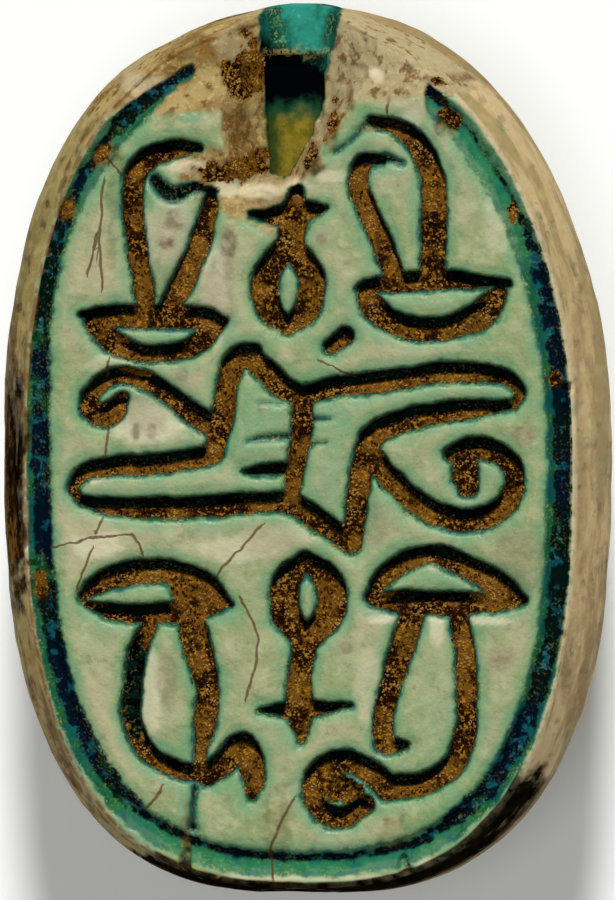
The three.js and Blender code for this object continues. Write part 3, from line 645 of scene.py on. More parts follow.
def stone_mesh(cells_x, cells_y):
    """The whole stone without its hole: vertices in mm and faces."""
    reach, turn = disc_grid(cells_x, cells_y)
    fx, fy = oval_point(
        turn, FACE_HALF_WIDTH - PLATE_EDGE_WEAR, FACE_HALF_LENGTH - PLATE_EDGE_WEAR, reach
    )
    relief = FaceRelief(fx, fy)
    points = [np.column_stack([fx, fy, HEIGHT - relief.depth])]
    row = cells_x + 1
    corners = (j * row + i for j in range(cells_y) for i in range(cells_x))
    faces = [(a, a + 1, a + row + 1, a + row) for a in corners]
    count = len(points[0])
    above = [j * row + i for i, j in grid_turns(cells_x, cells_y)]
    above_turn = turn[above]
    for k, (depth, side, end) in enumerate(side_rings()):
        if k == FINE_RINGS:
            ring_turn = above_turn[::2]
        else:
            ring_turn = above_turn
        ring = list(range(count, count + len(ring_turn)))
        x, y = oval_point(ring_turn, HALF_WIDTH - side, HALF_LENGTH - end)
        ring_points = np.column_stack([x, y, np.full_like(x, HEIGHT - depth)])
        lump = roughness_at(ring_points, 1.6, 4, 5)
        strip = roughness_at(ring_points * [0.35, 0.35, 3.0], 0.5, 2, 6)
        worn = 0.035 * lump + 0.012 * strip
        worn = (np.maximum(worn, -0.02) + 0.02) * fade(np.full_like(x, depth), 0, 0.4)
        shoulder = 0.16 * fade(-np.abs(np.abs(x) - 2.3), -2.1, -0.4) * fade(y, 6.0, 8.0)
        inward = worn + shoulder * fade(-abs(depth - 1.8), -1.8, 0) + leg_scores(ring_turn, depth)
        out = np.column_stack([x / HALF_WIDTH**2, y / HALF_LENGTH**2, np.zeros_like(x)])
        out /= np.linalg.norm(out, axis=1)[:, None]
        ring_points -= out * inward[:, None]
        # The broken end cuts the rim down as well.
        torn = broken_depth(ring_points[:, 0], ring_points[:, 1])
        torn += 0.04 * lump * (torn > 0.02)
        ring_points[:, 2] = np.minimum(ring_points[:, 2], HEIGHT - torn - SKIN)
        points.append(ring_points)
        count += len(ring)
        n = len(ring)
        for i in range(n):
            j = (i + 1) % n
            if k == FINE_RINGS:
                first, second, third = above[2 * i], above[2 * i + 1], above[(2 * i + 2) % (2 * n)]
                faces += [(first, ring[i], second), (second, ring[i], ring[j]),
                          (second, ring[j], third)]
            else:
                faces.append((above[i], ring[i], ring[j], above[j]))
        above, above_turn = ring, ring_turn
    half_x, half_y = cells_x // 2, cells_y // 2
    reach, turn = disc_grid(half_x, half_y)
    bx, by = oval_point(turn, BACK_HALF_WIDTH - SKIN, BACK_HALF_LENGTH - SKIN, reach)
    z = HEIGHT - back_depth(bx, by) + back_scores(bx, by)
    back = np.column_stack([bx, by, z])
    back[:, 2] += SKIN + np.maximum(0.03 * roughness_at(back, 1.8, 4, 7), -0.015)
    back_rim = [j * (half_x + 1) + i for i, j in grid_turns(half_x, half_y)]
    number = np.full(len(back), -1)
    number[back_rim] = above
    inner = np.nonzero(number < 0)[0]
    number[inner] = np.arange(count, count + len(inner))
    points.append(back[inner])
    for j in range(half_y):
        for i in range(half_x):
            a = j * (half_x + 1) + i
            corners = (a, a + half_x + 1, a + half_x + 2, a + 1)
            faces.append(tuple(int(number[c]) for c in corners))
    return np.concatenate(points), faces


def new_object(name, points, faces):
    """A new object with a mesh whose points are given in mm."""
    mesh = bpy.data.meshes.new(name)
    mesh.from_pydata((np.asarray(points) * MM).tolist(), [], [tuple(map(int, f)) for f in faces])
    mesh.validate()
    mesh.update()
    thing = bpy.data.objects.new(name, mesh)
    bpy.context.scene.collection.objects.link(thing)
    return thing


def tube_mesh(sections):
    """A closed tube through sections, each a ring of points, with a cap at each end."""
    count = len(sections[0])
    points = np.concatenate(sections)
    faces = []
    for k in range(len(sections) - 1):
        for i in range(count):
            j = (i + 1) % count
            a, b = k * count, (k + 1) * count
            faces.append((a + i, a + j, b + j, b + i))
    faces.append(tuple(range(count - 1, -1, -1)))
    last = (len(sections) - 1) * count
    faces.append(tuple(range(last, last + count)))
    return points, faces


def flipped(points, faces):
    """The same mesh turned inside out."""
    return points, [tuple(reversed(f)) for f in faces]


def hole_sections(start, end, steps, aside, depth, size, rough):
    """Rings of the hole from start to end along the stone; aside, depth and size go from one pair of
    values to the other."""
    turns = np.linspace(0, math.tau, HOLE_SIDES, endpoint=False)
    rings = []
    for k in range(steps + 1):
        share = k / steps
        y = start + share * (end - start)
        mid_x = aside[0] + share * (aside[1] - aside[0])
        mid_z = HEIGHT - depth[0] - share * (depth[1] - depth[0])
        half_w = (size[0][0] + share * (size[1][0] - size[0][0])) / 2
        half_h = (size[0][1] + share * (size[1][1] - size[0][1])) / 2
        ring = np.column_stack(
            [mid_x + half_w * np.cos(turns), np.full_like(turns, y), mid_z + half_h * np.sin(turns)]
        )
        wave = 1 + rough * roughness_at(ring * [1, 0.5, 1], 0.5, 3, 8)
        ring[:, 0] = mid_x + (ring[:, 0] - mid_x) * wave
        ring[:, 2] = mid_z + (ring[:, 2] - mid_z) * wave
        rings.append(ring)
    return rings


def subtract(thing, cutter):
    """Cuts cutter out of thing, and removes cutter."""
    cut = thing.modifiers.new("cut", "BOOLEAN")
    cut.operation = "DIFFERENCE"
    cut.solver = "MANIFOLD"
    cut.object = cutter
    shape = bpy.data.meshes.new_from_object(
        thing.evaluated_get(bpy.context.evaluated_depsgraph_get())
    )
    if len(shape.polygons) < len(thing.data.polygons) / 2:
        raise RuntimeError("the hole could not be cut")
    thing.modifiers.remove(cut)
    old, thing.data = thing.data, shape
    bpy.data.meshes.remove(old)
    bpy.data.objects.remove(cutter)


def hole_at(x, y, z):
    """1 on the walls of the hole and its mouths, 0 elsewhere."""
    start, end = HALF_LENGTH - MOUTH_LENGTH - MOUTH_OVERLAP, HALF_LENGTH + MOUTH_OVERLAP
    share = np.clip((np.abs(y) - start) / (end - start), 0, 1)
    mid_x = HOLE_ASIDE + share * (MOUTH_ASIDE - HOLE_ASIDE)
    half_w = (HOLE_DIAMETER + share * (MOUTH_WIDTH - HOLE_DIAMETER)) / 2
    half_h = (HOLE_DIAMETER + share * (MOUTH_HEIGHT - HOLE_DIAMETER)) / 2
    mid_z = np.where(np.abs(y) > start, HEIGHT - MOUTH_DEPTH, HEIGHT - HOLE_DEPTH)
    in_mouth = np.hypot((x - mid_x) / half_w, (z - mid_z) / half_h)
    radius = HOLE_DIAMETER / 2
    in_bore = np.hypot((x - HOLE_ASIDE) / radius, (z - HEIGHT + HOLE_DEPTH) / radius)
    in_mouth = np.where(np.abs(y) > start, in_mouth, 9)
    walls = fade(np.minimum(in_bore, in_mouth), 1.1, 1.06)
    # Seen from the broken side, the whole width of the mouth has kept its glaze.
    over_mouth = np.where((y > start) & (HEIGHT - z > 0.3) & (HEIGHT - z < 2.4), np.abs(x - mid_x), 9)
    return np.maximum(walls, fade(over_mouth / half_w, 1.06, 0.94))


def mark_surface(mesh):
    """Stores, at each vertex, what the glaze needs to know about the surface there."""
    places = np.empty(len(mesh.vertices) * 3)
    mesh.vertices.foreach_get("co", places)
    x, y, z = (places.reshape(-1, 3) / MM).T
    relief = FaceRelief(x, y)
    drop = HEIGHT - z
    on_face = fade(-np.abs(drop - relief.depth), -0.14, -0.05)
    side = edge_distance(x, y) < 0.02
    wall = np.where(side, fade(drop, 0.05, 0.3) * fade(drop, BACK_DEPTH + 0.5, BACK_DEPTH), 0)
    hole = hole_at(x, y, z) * np.where(drop < 0.3, 0, 1)
    top = (on_face > 0.3) | side
    low = drop > PAINT_REACH
    edging = np.where(side, 0.3 + wall, -9)
    patched = np.where(drop < PATCH_REACH, 1 - hole, 0)
    stored = {
        "cut_distance": np.where(top, relief.cut, FAR),
        "light_distance": np.where(top, relief.light, FAR),
        "border_distance": np.where(low, FAR, np.maximum(relief.border, edging)),
        "border_core": np.where(low, FAR, np.maximum(relief.core, edging)),
        "crack_distance": np.where(low, CRACK_FAR, relief.crack),
        "crack_offset": relief.crack * relief.crack_side,
        "earth": relief.earth * on_face,
        "hole": hole,
        "broken": relief.broken * patched,
        "side": wall,
        "rim": fade(edge_distance(x, y), 0.35, 0.0) * np.where(drop < PAINT_REACH, 1, 0),
    }
    for name, cover in relief.cover.items():
        stored[name] = cover * patched
    for name, values in stored.items():
        layer = mesh.attributes.new(name, "FLOAT", "POINT")
        layer.data.foreach_set("value", np.ascontiguousarray(values, dtype=np.float32))


def linear(hex_colour):
    """An sRGB hex colour as linear RGBA."""
    channels = [int(hex_colour[i : i + 2], 16) / 255 for i in (1, 3, 5)]
    curve = [c / 12.92 if c <= 0.04045 else ((c + 0.055) / 1.055) ** 2.4 for c in channels]
    return (*curve, 1)


# Kinds of node that the finishes share, each with its settings.
RAMP = ("ShaderNodeMapRange", {"interpolation_type": "SMOOTHSTEP"})
LAYER = ("ShaderNodeMix", {"data_type": "RGBA"})
TIMES, PLUS, MINUS, LEAST, MOST, UNSIGNED = (
    ("ShaderNodeMath", {"operation": name})
    for name in ("MULTIPLY", "ADD", "SUBTRACT", "MINIMUM", "MAXIMUM", "ABSOLUTE")
)


def add_node(tree, kind, *inputs, out=None, **named):
    """Adds a node and returns one of its outputs, the first that it has unless out names another.

    kind is its type, with its settings if it has any. The inputs fill its sockets in order and the
    named ones by name, with _ for a space. Each is an output to link from, a hex colour or a value.
    """
    name, settings = kind if isinstance(kind, tuple) else (kind, {})
    node = tree.nodes.new(name)
    for key, value in settings.items():
        setattr(node, key, value)
    sockets = [socket for socket in node.inputs if socket.enabled and not socket.is_unavailable]
    pairs = list(zip(sockets, inputs))
    pairs += [(node.inputs[key.replace("_", " ")], value) for key, value in named.items()]
    for socket, value in pairs:
        if isinstance(value, bpy.types.NodeSocket):
            tree.links.new(value, socket)
        elif isinstance(value, str) and value.startswith("#"):
            socket.default_value = linear(value)
        else:
            socket.default_value = value
    if out:
        return node.outputs[out]
    usable = [socket for socket in node.outputs if socket.enabled and not socket.is_unavailable]
    return usable[0] if usable else None


def lay_over(put, base, *layers):
    """Lays colours over a base, each as far as a value says: (value, low, high, most, colour)."""
    for value, low, high, most, colour in layers:
        base = put(LAYER, put(RAMP, value, low, high, 0, most), base, colour)
    return base


def new_material(name):
    """An empty material and a function that adds nodes to it."""
    material = bpy.data.materials.new(name)
    material.use_nodes = True
    material.node_tree.nodes.clear()
    return material, functools.partial(add_node, material.node_tree)


def glazed_steatite(look):
    """Steatite under a thin alkaline copper glaze: pale grey-green on the flats, pooled deep teal along
    the cuts, cloudy or rubbed through in patches, and bare, brown stone where it has broken; painted
    shade makes the cuts, the border line, the hole and parts of the walls nearly black, and painted
    highlights make some lips pale."""
    material, put = new_material("glazed_steatite")
    names = ("cut_distance", "light_distance", "border_distance", "border_core", "crack_distance",
             "crack_offset", "broken", "hole", "side", "earth", "rim", *SPOT_LISTS)
    stored = {
        name: put(("ShaderNodeAttribute", {"attribute_name": name}), out="Fac") for name in names
    }
    cut, border, crack = (stored[kind + "_distance"] for kind in ("cut", "border", "crack"))
    broken, hole, side = stored["broken"], stored["hole"], stored["side"]
    earth, rim, milky, green = (stored[name] for name in ("earth", "rim", "milky", "green"))
    place = put("ShaderNodeTexCoord", out="Object")
    across, along, height_up = (put("ShaderNodeSeparateXYZ", place, out=axis) for axis in "XYZ")
    right_side = put(RAMP, across, -0.2 * MM, 0.9 * MM)
    # Noises by the size in mm of their largest lumps, their detail and their roughness.
    patch, patch_two, cloud, mottle, grit, speck = (
        put("ShaderNodeTexNoise", place, 1 / (lump * MM), detail, rough)
        for lump, detail, rough in (
            (2.6, 3, 0.55), (1.4, 4, 0.55), (0.7, 5, 0.55), (0.24, 5, 0.55), (0.08, 3, 0.55),
            (0.06, 2, 0.5),
        )
    )

    # The thin glaze on the flats, mottled pale grey-green and buff.
    field = lay_over(
        put, (*look.glaze_colour, 1),
        (patch, 0.38, 0.62, 1, "#A49E78"),
        (patch_two, 0.46, 0.7, 0.8, "#74905E"),
        (cloud, 0.45, 0.68, 0.7, "#A8A880"),
        (mottle, 0.48, 0.7, 0.6, "#B0B488"),
        (mottle, 0.46, 0.3, 0.5, "#6C7040"),
    )
    # It is greener beside the cuts, where it gathers, and nearly black in them, partly as pooled glaze
    # and partly as painted shade.
    nearest = put(LEAST, put(LEAST, cut, put(PLUS, stored["light_distance"], 0.04)), border)
    wander = put(TIMES, put(MINUS, cloud, 0.5), 0.5)
    fine_wander = put(TIMES, put(MINUS, mottle, 0.5), 0.2)
    halo = put(RAMP, put(PLUS, nearest, wander), 0.34, 0.02)
    gathered = put(MOST, put(TIMES, halo, 0.7), put(TIMES, stored["thick"], 0.8))
    field = put(LAYER, gathered, field, (*look.thick_glaze_colour, 1))
    # Pale cloudy glaze, and painted highlights on lit lips.
    field = put(LAYER, put(TIMES, milky, 0.8), field, "#CCC5A4")
    bare_tone = put(LAYER, put(RAMP, mottle, 0.4, 0.6), "#93846A", "#503C24")
    field = put(LAYER, put(TIMES, stored["worn"], 0.85), field, bare_tone)
    teal = put(LAYER, put(RAMP, patch_two, 0.42, 0.58), "#2A7A6C", "#347A50")
    uneven = put(PLUS, nearest, fine_wander)
    field = lay_over(
        put, field, (uneven, 0.06, -0.02, 0.8, teal), (uneven, 0.03, -0.04, 0.75, "#0E4434")
    )
    # Painted shade as well as pooled glaze: the insides of the cuts are nearly black, most of all in the
    # gap above the earth.
    pool_and_painted_shade = put(RAMP, nearest, 0.0, -0.08)
    field = put(LAYER, pool_and_painted_shade, field, put(LAYER, put(RAMP, mottle, 0.42, 0.6), "#010504", "#051A14"))
    # In the border line it is blue and green, with a nearly black middle that is partly deep glaze and
    # partly painted shade.
    wet = put(LAYER, put(RAMP, cloud, 0.4, 0.58), "#10524E", "#1F6438")
    in_border = put(PLUS, border, fine_wander)
    shallow = put(LAYER, put(RAMP, in_border, -0.2, 0.05), "#2A7450", "#7CA880")
    wet = put(LAYER, put(TIMES, green, put(RAMP, mottle, 0.36, 0.6, 0.5, 1)), wet, shallow)
    field = put(LAYER, put(RAMP, in_border, 0.1, -0.12), field, wet)
    # Painted shade as well as deep glaze: the nearly black middle, placed where the shadow falls.
    core = put(PLUS, stored["border_core"], put(TIMES, fine_wander, 1.4))
    core = put(PLUS, core, put(TIMES, green, 0.15))
    core = put(TIMES, put(RAMP, core, -0.04, -0.12), put(RAMP, cloud, 0.68, 0.56, 0.6, 1))
    depths = put(LAYER, put(RAMP, patch_two, 0.42, 0.58), "#04121F", "#04140F")
    depths = put(LAYER, put(RAMP, mottle, 0.52, 0.66, 0, 0.8), depths, "#125A64")
    field = put(LAYER, core, field, depths)

    # Golden specks of earth cling near the cuts, and the hair cracks have stained brown.
    near = put(RAMP, nearest, 0.45, -0.1, 0.3, 0.85)
    near = put(TIMES, near, put(RAMP, nearest, -0.1, 0.0, 0.25, 1))
    gold = put(TIMES, put(RAMP, speck, 0.55, 0.66), put(TIMES, near, put(RAMP, cloud, 0.38, 0.6)))
    field = put(LAYER, put(TIMES, gold, 0.8), field, "#B09C58")
    offset = put(UNSIGNED, stored["crack_offset"])
    offset = put(PLUS, offset, put(TIMES, put(MINUS, mottle, 0.5), 0.03))
    crack_line = put(TIMES, put(RAMP, offset, 0.038, 0.012), put(RAMP, crack, 0.09, 0.06))
    field = put(LAYER, put(TIMES, crack_line, 0.9), field, "#54350F")

    # Bare stone, where the head end has broken and where the rim has rubbed through.
    stone = lay_over(
        put, (*look.bare_stone_colour, 1),
        (cloud, 0.4, 0.6, 1, "#7E6230"),
        (across, -0.2 * MM, 0.9 * MM, 0.75, "#AC9F7A"),
        (mottle, 0.5, 0.64, 0.8, "#5E3C12"),
        (patch_two, 0.5, 0.62, 0.6, "#B0A07A"),
        (grit, 0.52, 0.7, 0.5, "#C4B284"),
    )
    # Painted highlight as well as pale stone along the lip of the break.
    stone = put(LAYER, put(TIMES, milky, 0.8), stone, "#D4C8A4")
    rubbed = put(TIMES, rim, put(RAMP, cloud, 0.38, 0.56))
    rubbed = put(TIMES, rubbed, put(RAMP, border, 0.02, 0.12))
    colour = put(LAYER, put(MOST, broken, put(TIMES, rubbed, 0.85)), field, stone)

    # The walls are rubbed and dirty, with streaks that run round them and blots that run down.
    round_it = put("ShaderNodeMapping", place, Scale=(0.5, 0.5, 1.6))
    streak = put("ShaderNodeTexNoise", round_it, 1 / (1.2 * MM), 5, 0.6)
    down_it = put("ShaderNodeMapping", place, Scale=(1, 1, 0.55))
    tall = put("ShaderNodeTexNoise", down_it, 1 / (0.3 * MM), 4, 0.55)
    flank = lay_over(
        put, "#9A844A", (streak, 0.44, 0.56, 1, "#685020"), (patch, 0.45, 0.6, 0.6, "#8A8048")
    )
    pale_side = put(TIMES, right_side, put(RAMP, streak, 0.6, 0.42, 0.35, 0.85))
    flank = put(LAYER, pale_side, flank, "#C8AE82")
    plate_foot = HEIGHT - PLATE_DEPTH
    plate = put(RAMP, height_up, (plate_foot - 0.4) * MM, plate_foot * MM, 0.4, 1)
    flank = put(LAYER, put(TIMES, plate, put(RAMP, tall, 0.5, 0.66, 0, 0.6)), flank, "#B29E68")
    blots = put(TIMES, put(RAMP, tall, 0.44, 0.3, 0, 0.75), put(RAMP, right_side, 0, 1, 1, 0.45))
    flank = put(LAYER, put(TIMES, plate, blots), flank, "#412A0C")
    flank = put(LAYER, put(RAMP, cloud, 0.58, 0.7, 0, 0.5), flank, "#8C9A72")
    # Here and there they are stained nearly black, and at the tail end they are painted nearly black as
    # shade; most of all near the face.
    blotchy = put(PLUS, put(TIMES, cloud, 1.6), put(TIMES, mottle, 0.8))
    dark = put(RAMP, put(PLUS, stored["dark"], put(MINUS, blotchy, 1.2)), 0.1, 0.85)
    dark = put(TIMES, dark, put(RAMP, tall, 0.35, 0.6, 1, 0.9))
    low_down = put(RAMP, height_up, (HEIGHT - 1.1) * MM, (HEIGHT - 2.1) * MM, 1, 0.45)
    dark = put(TIMES, dark, low_down)
    dark = put(TIMES, dark, put(RAMP, streak, 0.74, 0.6))
    flank = put(LAYER, dark, flank, put(LAYER, put(RAMP, mottle, 0.4, 0.6), "#070503", "#1E1408"))
    colour = put(LAYER, put(TIMES, side, put(MINUS, 1.0, broken)), colour, flank)
    # Painted shade: where the wall is painted nearly black, the rim of the face above it is too.
    outermost = put(RAMP, put(PLUS, rim, put(TIMES, wander, 0.8)), 0.6, 0.8)
    colour = put(LAYER, put(TIMES, outermost, dark), colour, "#0A0804")
    # The edge of the face is worn through to the stone.
    edge = put(TIMES, put(RAMP, rim, 0.72, 0.98), put(MINUS, 1.0, put(RAMP, side, 0.2, 0.9)))
    edge = put(TIMES, edge, put(RAMP, mottle, 0.42, 0.55))
    edge = put(TIMES, edge, put(MINUS, 1.0, dark))
    edge_tone = put(LAYER, right_side, "#6E4A1E", "#C4B08C")
    colour = put(LAYER, put(TIMES, edge, 0.8), colour, edge_tone)

    # The hole: turquoise glaze in the open mouth and olive glaze under the break, with painted shade
    # between them, green then black just inside the step down into the bore; painted shade also deepens
    # the sides of the channel and blackens the bore towards the tail.
    ragged = put(PLUS, put(MINUS, mottle, 0.5), put(MINUS, cloud, 0.5))
    wavy = put(PLUS, along, put(TIMES, ragged, 0.5 * MM))
    off_middle = put(UNSIGNED, put(MINUS, across, 0.5 * (HOLE_ASIDE + MOUTH_ASIDE) * MM))
    off_middle = put(PLUS, off_middle, put(TIMES, ragged, 0.25 * MM))
    # Painted shade: deeper green down the sides of the channel, and green then black just inside the
    # step where the mouth drops into the bore.
    inside = lay_over(
        put, "#8A7826",
        (mottle, 0.4, 0.65, 1, "#66601A"),
        (off_middle, 0.3 * MM, 0.6 * MM, 0.8, "#2E4A20"),
        (wavy, 6.5 * MM, 6.95 * MM, 1, "#1C4A30"),
        (wavy, 6.85 * MM, 7.15 * MM, 1, "#020508"),
    )
    slanted = put(PLUS, wavy, put(TIMES, put(PLUS, across, 0.1 * MM), 0.5))
    mouth = put(RAMP, slanted, (HALF_LENGTH - 1.25) * MM, (HALF_LENGTH - 0.85) * MM)
    # Painted shade: the turquoise deepens towards the sides of the mouth.
    turquoise = lay_over(
        put, "#2E8C78",
        (cloud, 0.4, 0.6, 1, "#12503C"),
        (mottle, 0.56, 0.7, 0.6, "#58AE96"),
        (off_middle, 0.45 * MM, 0.75 * MM, 0.85, "#0A3A30"),
    )
    dusty = put(TIMES, put(RAMP, speck, 0.5, 0.62, 0, 0.7), put(RAMP, cloud, 0.5, 0.62))
    turquoise = put(LAYER, dusty, turquoise, "#8E9858")
    inside = put(LAYER, mouth, inside, turquoise)
    tail = -HALF_LENGTH * MM
    # Painted shade: nearly black deep in the bore, towards the tail end.
    inside = lay_over(put, inside, (along, 0.65 * tail, 0.8 * tail, 1, "#0C0A05"))
    ledge = put(TIMES, put(RAMP, wavy, 7.85 * MM, 7.95 * MM), put(RAMP, wavy, 8.15 * MM, 8.0 * MM))
    ledge = put(TIMES, ledge, put(RAMP, speck, 0.42, 0.54))
    inside = put(LAYER, put(TIMES, ledge, 0.8), inside, "#A89A5C")
    colour = put(LAYER, hole, colour, inside)

    # Stains and soil lie over all of it.
    dirty = put(TIMES, stored["stained"], put(RAMP, cloud, 0.62, 0.46, 0.45, 1))
    dirty = put(TIMES, dirty, put(MINUS, 1.0, put(TIMES, side, put(RAMP, streak, 0.46, 0.58))))
    dirt = put(LAYER, put(RAMP, mottle, 0.42, 0.58), "#2C1A08", "#7C5624")
    colour = put(LAYER, put(TIMES, dirty, 0.85), colour, dirt)
    soil = lay_over(
        put, "#1C0C03", (cloud, 0.46, 0.56, 1, "#664414"), (grit, 0.52, 0.66, 1, "#98681A")
    )
    colour = put(LAYER, put(RAMP, earth, 0.25, 0.6), colour, soil)

    # Only the glaze has a shine: bare stone, the nearly black pooled glaze and painted shade, the hole,
    # the stained and painted-shade walls, stains and soil are matt.
    bare = put(MOST, broken, put(MOST, put(TIMES, side, 0.6), earth))
    roughness = put(PLUS, put(TIMES, bare, 0.4), put(RAMP, mottle, 0.3, 0.7, 0.34, 0.55))
    height = put(PLUS, put(TIMES, mottle, 0.6), put(TIMES, grit, 0.4))
    height = put(MINUS, height, put(TIMES, crack_line, 0.3))
    bump = put("ShaderNodeBump", Height=height, Strength=0.6, Distance=0.05 * MM)
    matt = put(MOST, bare, put(MOST, put(TIMES, pool_and_painted_shade, 0.8), hole))
    matt = put(MOST, matt, put(MOST, dark, dirty))
    shader = put(
        "ShaderNodeBsdfPrincipled", Base_Color=colour, Roughness=roughness, Normal=bump, IOR=1.5,
        Specular_IOR_Level=put(RAMP, matt, 0.0, 0.8, 0.35, 0.0),
    )
    put("ShaderNodeOutputMaterial", shader)
    return material


def packed_earth(look):
    """Dry sandy earth: loose ochre-brown grains, some nearly black, quite without shine."""
    material, put = new_material("packed_earth")
    place = put("ShaderNodeTexCoord", out="Object")
    tone, clump, glint, grit = (
        put("ShaderNodeTexNoise", place, 1 / (lump * MM), detail, 0.55)
        for lump, detail in ((0.13, 2), (0.4, 3), (0.1, 1), (0.03, 2))
    )
    colour = lay_over(
        put, "#3A2009",
        (tone, 0.4, 0.56, 1, (*look.earth_colour, 1)),
        (clump, 0.5, 0.62, 0.75, "#A37C3E"),
        (clump, 0.52, 0.42, 0.9, "#200E04"),
        (glint, 0.6, 0.72, 0.7, "#A67C3C"),
    )
    shader = put(
        "ShaderNodeBsdfPrincipled", Base_Color=colour, IOR=1.5, Specular_IOR_Level=0.0,
        Roughness=put(RAMP, tone, 0.3, 0.7, 0.85, 1.0),
        Normal=put("ShaderNodeBump", Height=grit, Strength=0.4, Distance=0.01 * MM),
    )
    put("ShaderNodeOutputMaterial", shader)
    return material


def grain_tree(material):
    """Scatters low stones on the faces of a mesh, as many per square mm as its earth says."""
    tree = bpy.data.node_groups.new("earth_grains", "GeometryNodeTree")
    face = tree.interface
    face.new_socket("Geometry", in_out="INPUT", socket_type="NodeSocketGeometry")
    for name, value in (("Grains per mm2", 300.0), ("Grain size", 0.06)):
        socket = face.new_socket(name, in_out="INPUT", socket_type="NodeSocketFloat")
        socket.default_value = value
    face.new_socket("Geometry", in_out="OUTPUT", socket_type="NodeSocketGeometry")
    put = functools.partial(add_node, tree)
    mesh, per_mm2, size = (
        put("NodeGroupInput", out=name) for name in ("Geometry", "Grains per mm2", "Grain size")
    )
    earth = put(("GeometryNodeInputNamedAttribute", {"data_type": "FLOAT"}), "earth")
    share = put("ShaderNodeMapRange", earth, 0.55, 0.8)
    density = put(TIMES, share, put(TIMES, per_mm2, 1 / MM**2))
    points = put("GeometryNodeDistributePointsOnFaces", Mesh=mesh, Density=density, Seed=11)
    grain = put("GeometryNodeMeshIcoSphere", 0.5 * MM, 1)
    random_vector = ("FunctionNodeRandomValue", {"data_type": "FLOAT_VECTOR"})
    turn = put(random_vector, (0, 0, 0), (math.tau,) * 3, Seed=5)
    stretch = put(random_vector, (0.35, 0.35, 0.3), (1.5, 1.3, 1.0), Seed=6)
    sized = put(("ShaderNodeVectorMath", {"operation": "SCALE"}), stretch, Scale=size)
    stones = put(
        "GeometryNodeInstanceOnPoints", Points=points, Instance=grain, Rotation=turn, Scale=sized
    )
    real = put("GeometryNodeRealizeInstances", stones)
    put("NodeGroupOutput", put("GeometryNodeSetMaterial", Geometry=real, Material=material))
    return tree


def apply_tree(thing, tree, values):
    """The result of a node tree on thing, as a new mesh."""
    modifier = thing.modifiers.new(tree.name, "NODES")
    modifier.node_group = tree
    for item in tree.interface.items_tree:
        if item.in_out == "INPUT" and item.name in values:
            modifier[item.identifier] = values[item.name]
    shape = bpy.data.meshes.new_from_object(
        thing.evaluated_get(bpy.context.evaluated_depsgraph_get())
    )
    thing.modifiers.remove(modifier)
    return shape


class ScarabLook(bpy.types.PropertyGroup):
    """Sizes and colours that change how the amulet looks."""

    cells_across: IntProperty(
        name="Cells across", description="Cells of the carved face's grid, side to side",
        default=190, min=20,
    )
    cells_along: IntProperty(
        name="Cells along", description="Cells of the carved face's grid, head to tail",
        default=300, min=20,
    )
    glaze_colour: FloatVectorProperty(
        name="Glaze", description="Colour of the thin glaze on the flats", subtype="COLOR",
        size=3, min=0, max=1, default=linear("#84925E")[:3],
    )
    thick_glaze_colour: FloatVectorProperty(
        name="Thick glaze", description="Colour of the glaze that gathers beside the cuts",
        subtype="COLOR", size=3, min=0, max=1, default=linear("#62966A")[:3],
    )
    bare_stone_colour: FloatVectorProperty(
        name="Bare stone", description="Colour of the stone where it has broken", subtype="COLOR",
        size=3, min=0, max=1, default=linear("#A6905C")[:3],
    )
    earth_colour: FloatVectorProperty(
        name="Earth", description="Colour of the packed earth's lighter grains", subtype="COLOR",
        size=3, min=0, max=1, default=linear("#7A5522")[:3],
    )
    grain_density: FloatProperty(
        name="Grains", description="Grains of earth on a square millimetre", default=185, min=0
    )
    grain_size: FloatProperty(
        name="Grain size", description="Width of a grain of earth", default=0.068 * MM, min=0,
        precision=6, unit="LENGTH",
    )


class StageLook(bpy.types.PropertyGroup):
    """The floor, the lights and the camera."""

    floor_colour: FloatVectorProperty(
        name="Floor", description="Colour of the floor", subtype="COLOR", size=3,
        default=(0.93, 0.93, 0.93),
    )
    key_power: FloatProperty(
        name="Key light", description="Strength of the light from the head end", default=3.0,
        min=0,
    )
    overhead_power: FloatProperty(
        name="Overhead light", description="Strength of the soft light from above", default=0.65,
        min=0,
    )
    fill_power: FloatProperty(
        name="Fill light", description="Strength of the light from all round", default=0.2, min=0
    )


class SCARAB_OT_stone(bpy.types.Operator):
    """Makes the carved stone with its hole and its glaze"""

    bl_idname = "scarab.make_stone"
    bl_label = "Make the stone"

    def execute(self, context):
        look = context.scene.scarab_look
        points, faces = stone_mesh(look.cells_across, look.cells_along)
        stone = new_object("scarab_stone", points, faces)
        size = (HOLE_DIAMETER, HOLE_DIAMETER)
        wide = (MOUTH_WIDTH, MOUTH_HEIGHT)
        start = HALF_LENGTH - MOUTH_LENGTH
        bore = hole_sections(
            -start, start, 60, (HOLE_ASIDE,) * 2, (HOLE_DEPTH,) * 2, (size, size), 0.05
        )
        subtract(stone, new_object("bore", *flipped(*tube_mesh(bore))))
        for end in (1, -1):
            mouth = hole_sections(
                end * (start - MOUTH_OVERLAP), end * (HALF_LENGTH + MOUTH_OVERLAP), 12,
                (HOLE_ASIDE, MOUTH_ASIDE), (MOUTH_DEPTH,) * 2, (size, wide), 0.04,
            )
            shape = tube_mesh(mouth)
            subtract(stone, new_object("mouth", *(flipped(*shape) if end > 0 else shape)))
        mark_surface(stone.data)
        stone.data.materials.clear()
        stone.data.materials.append(glazed_steatite(look))
        stone.data.shade_smooth()
        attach(stone, "root")
        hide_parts("scarab")
        return {"FINISHED"}


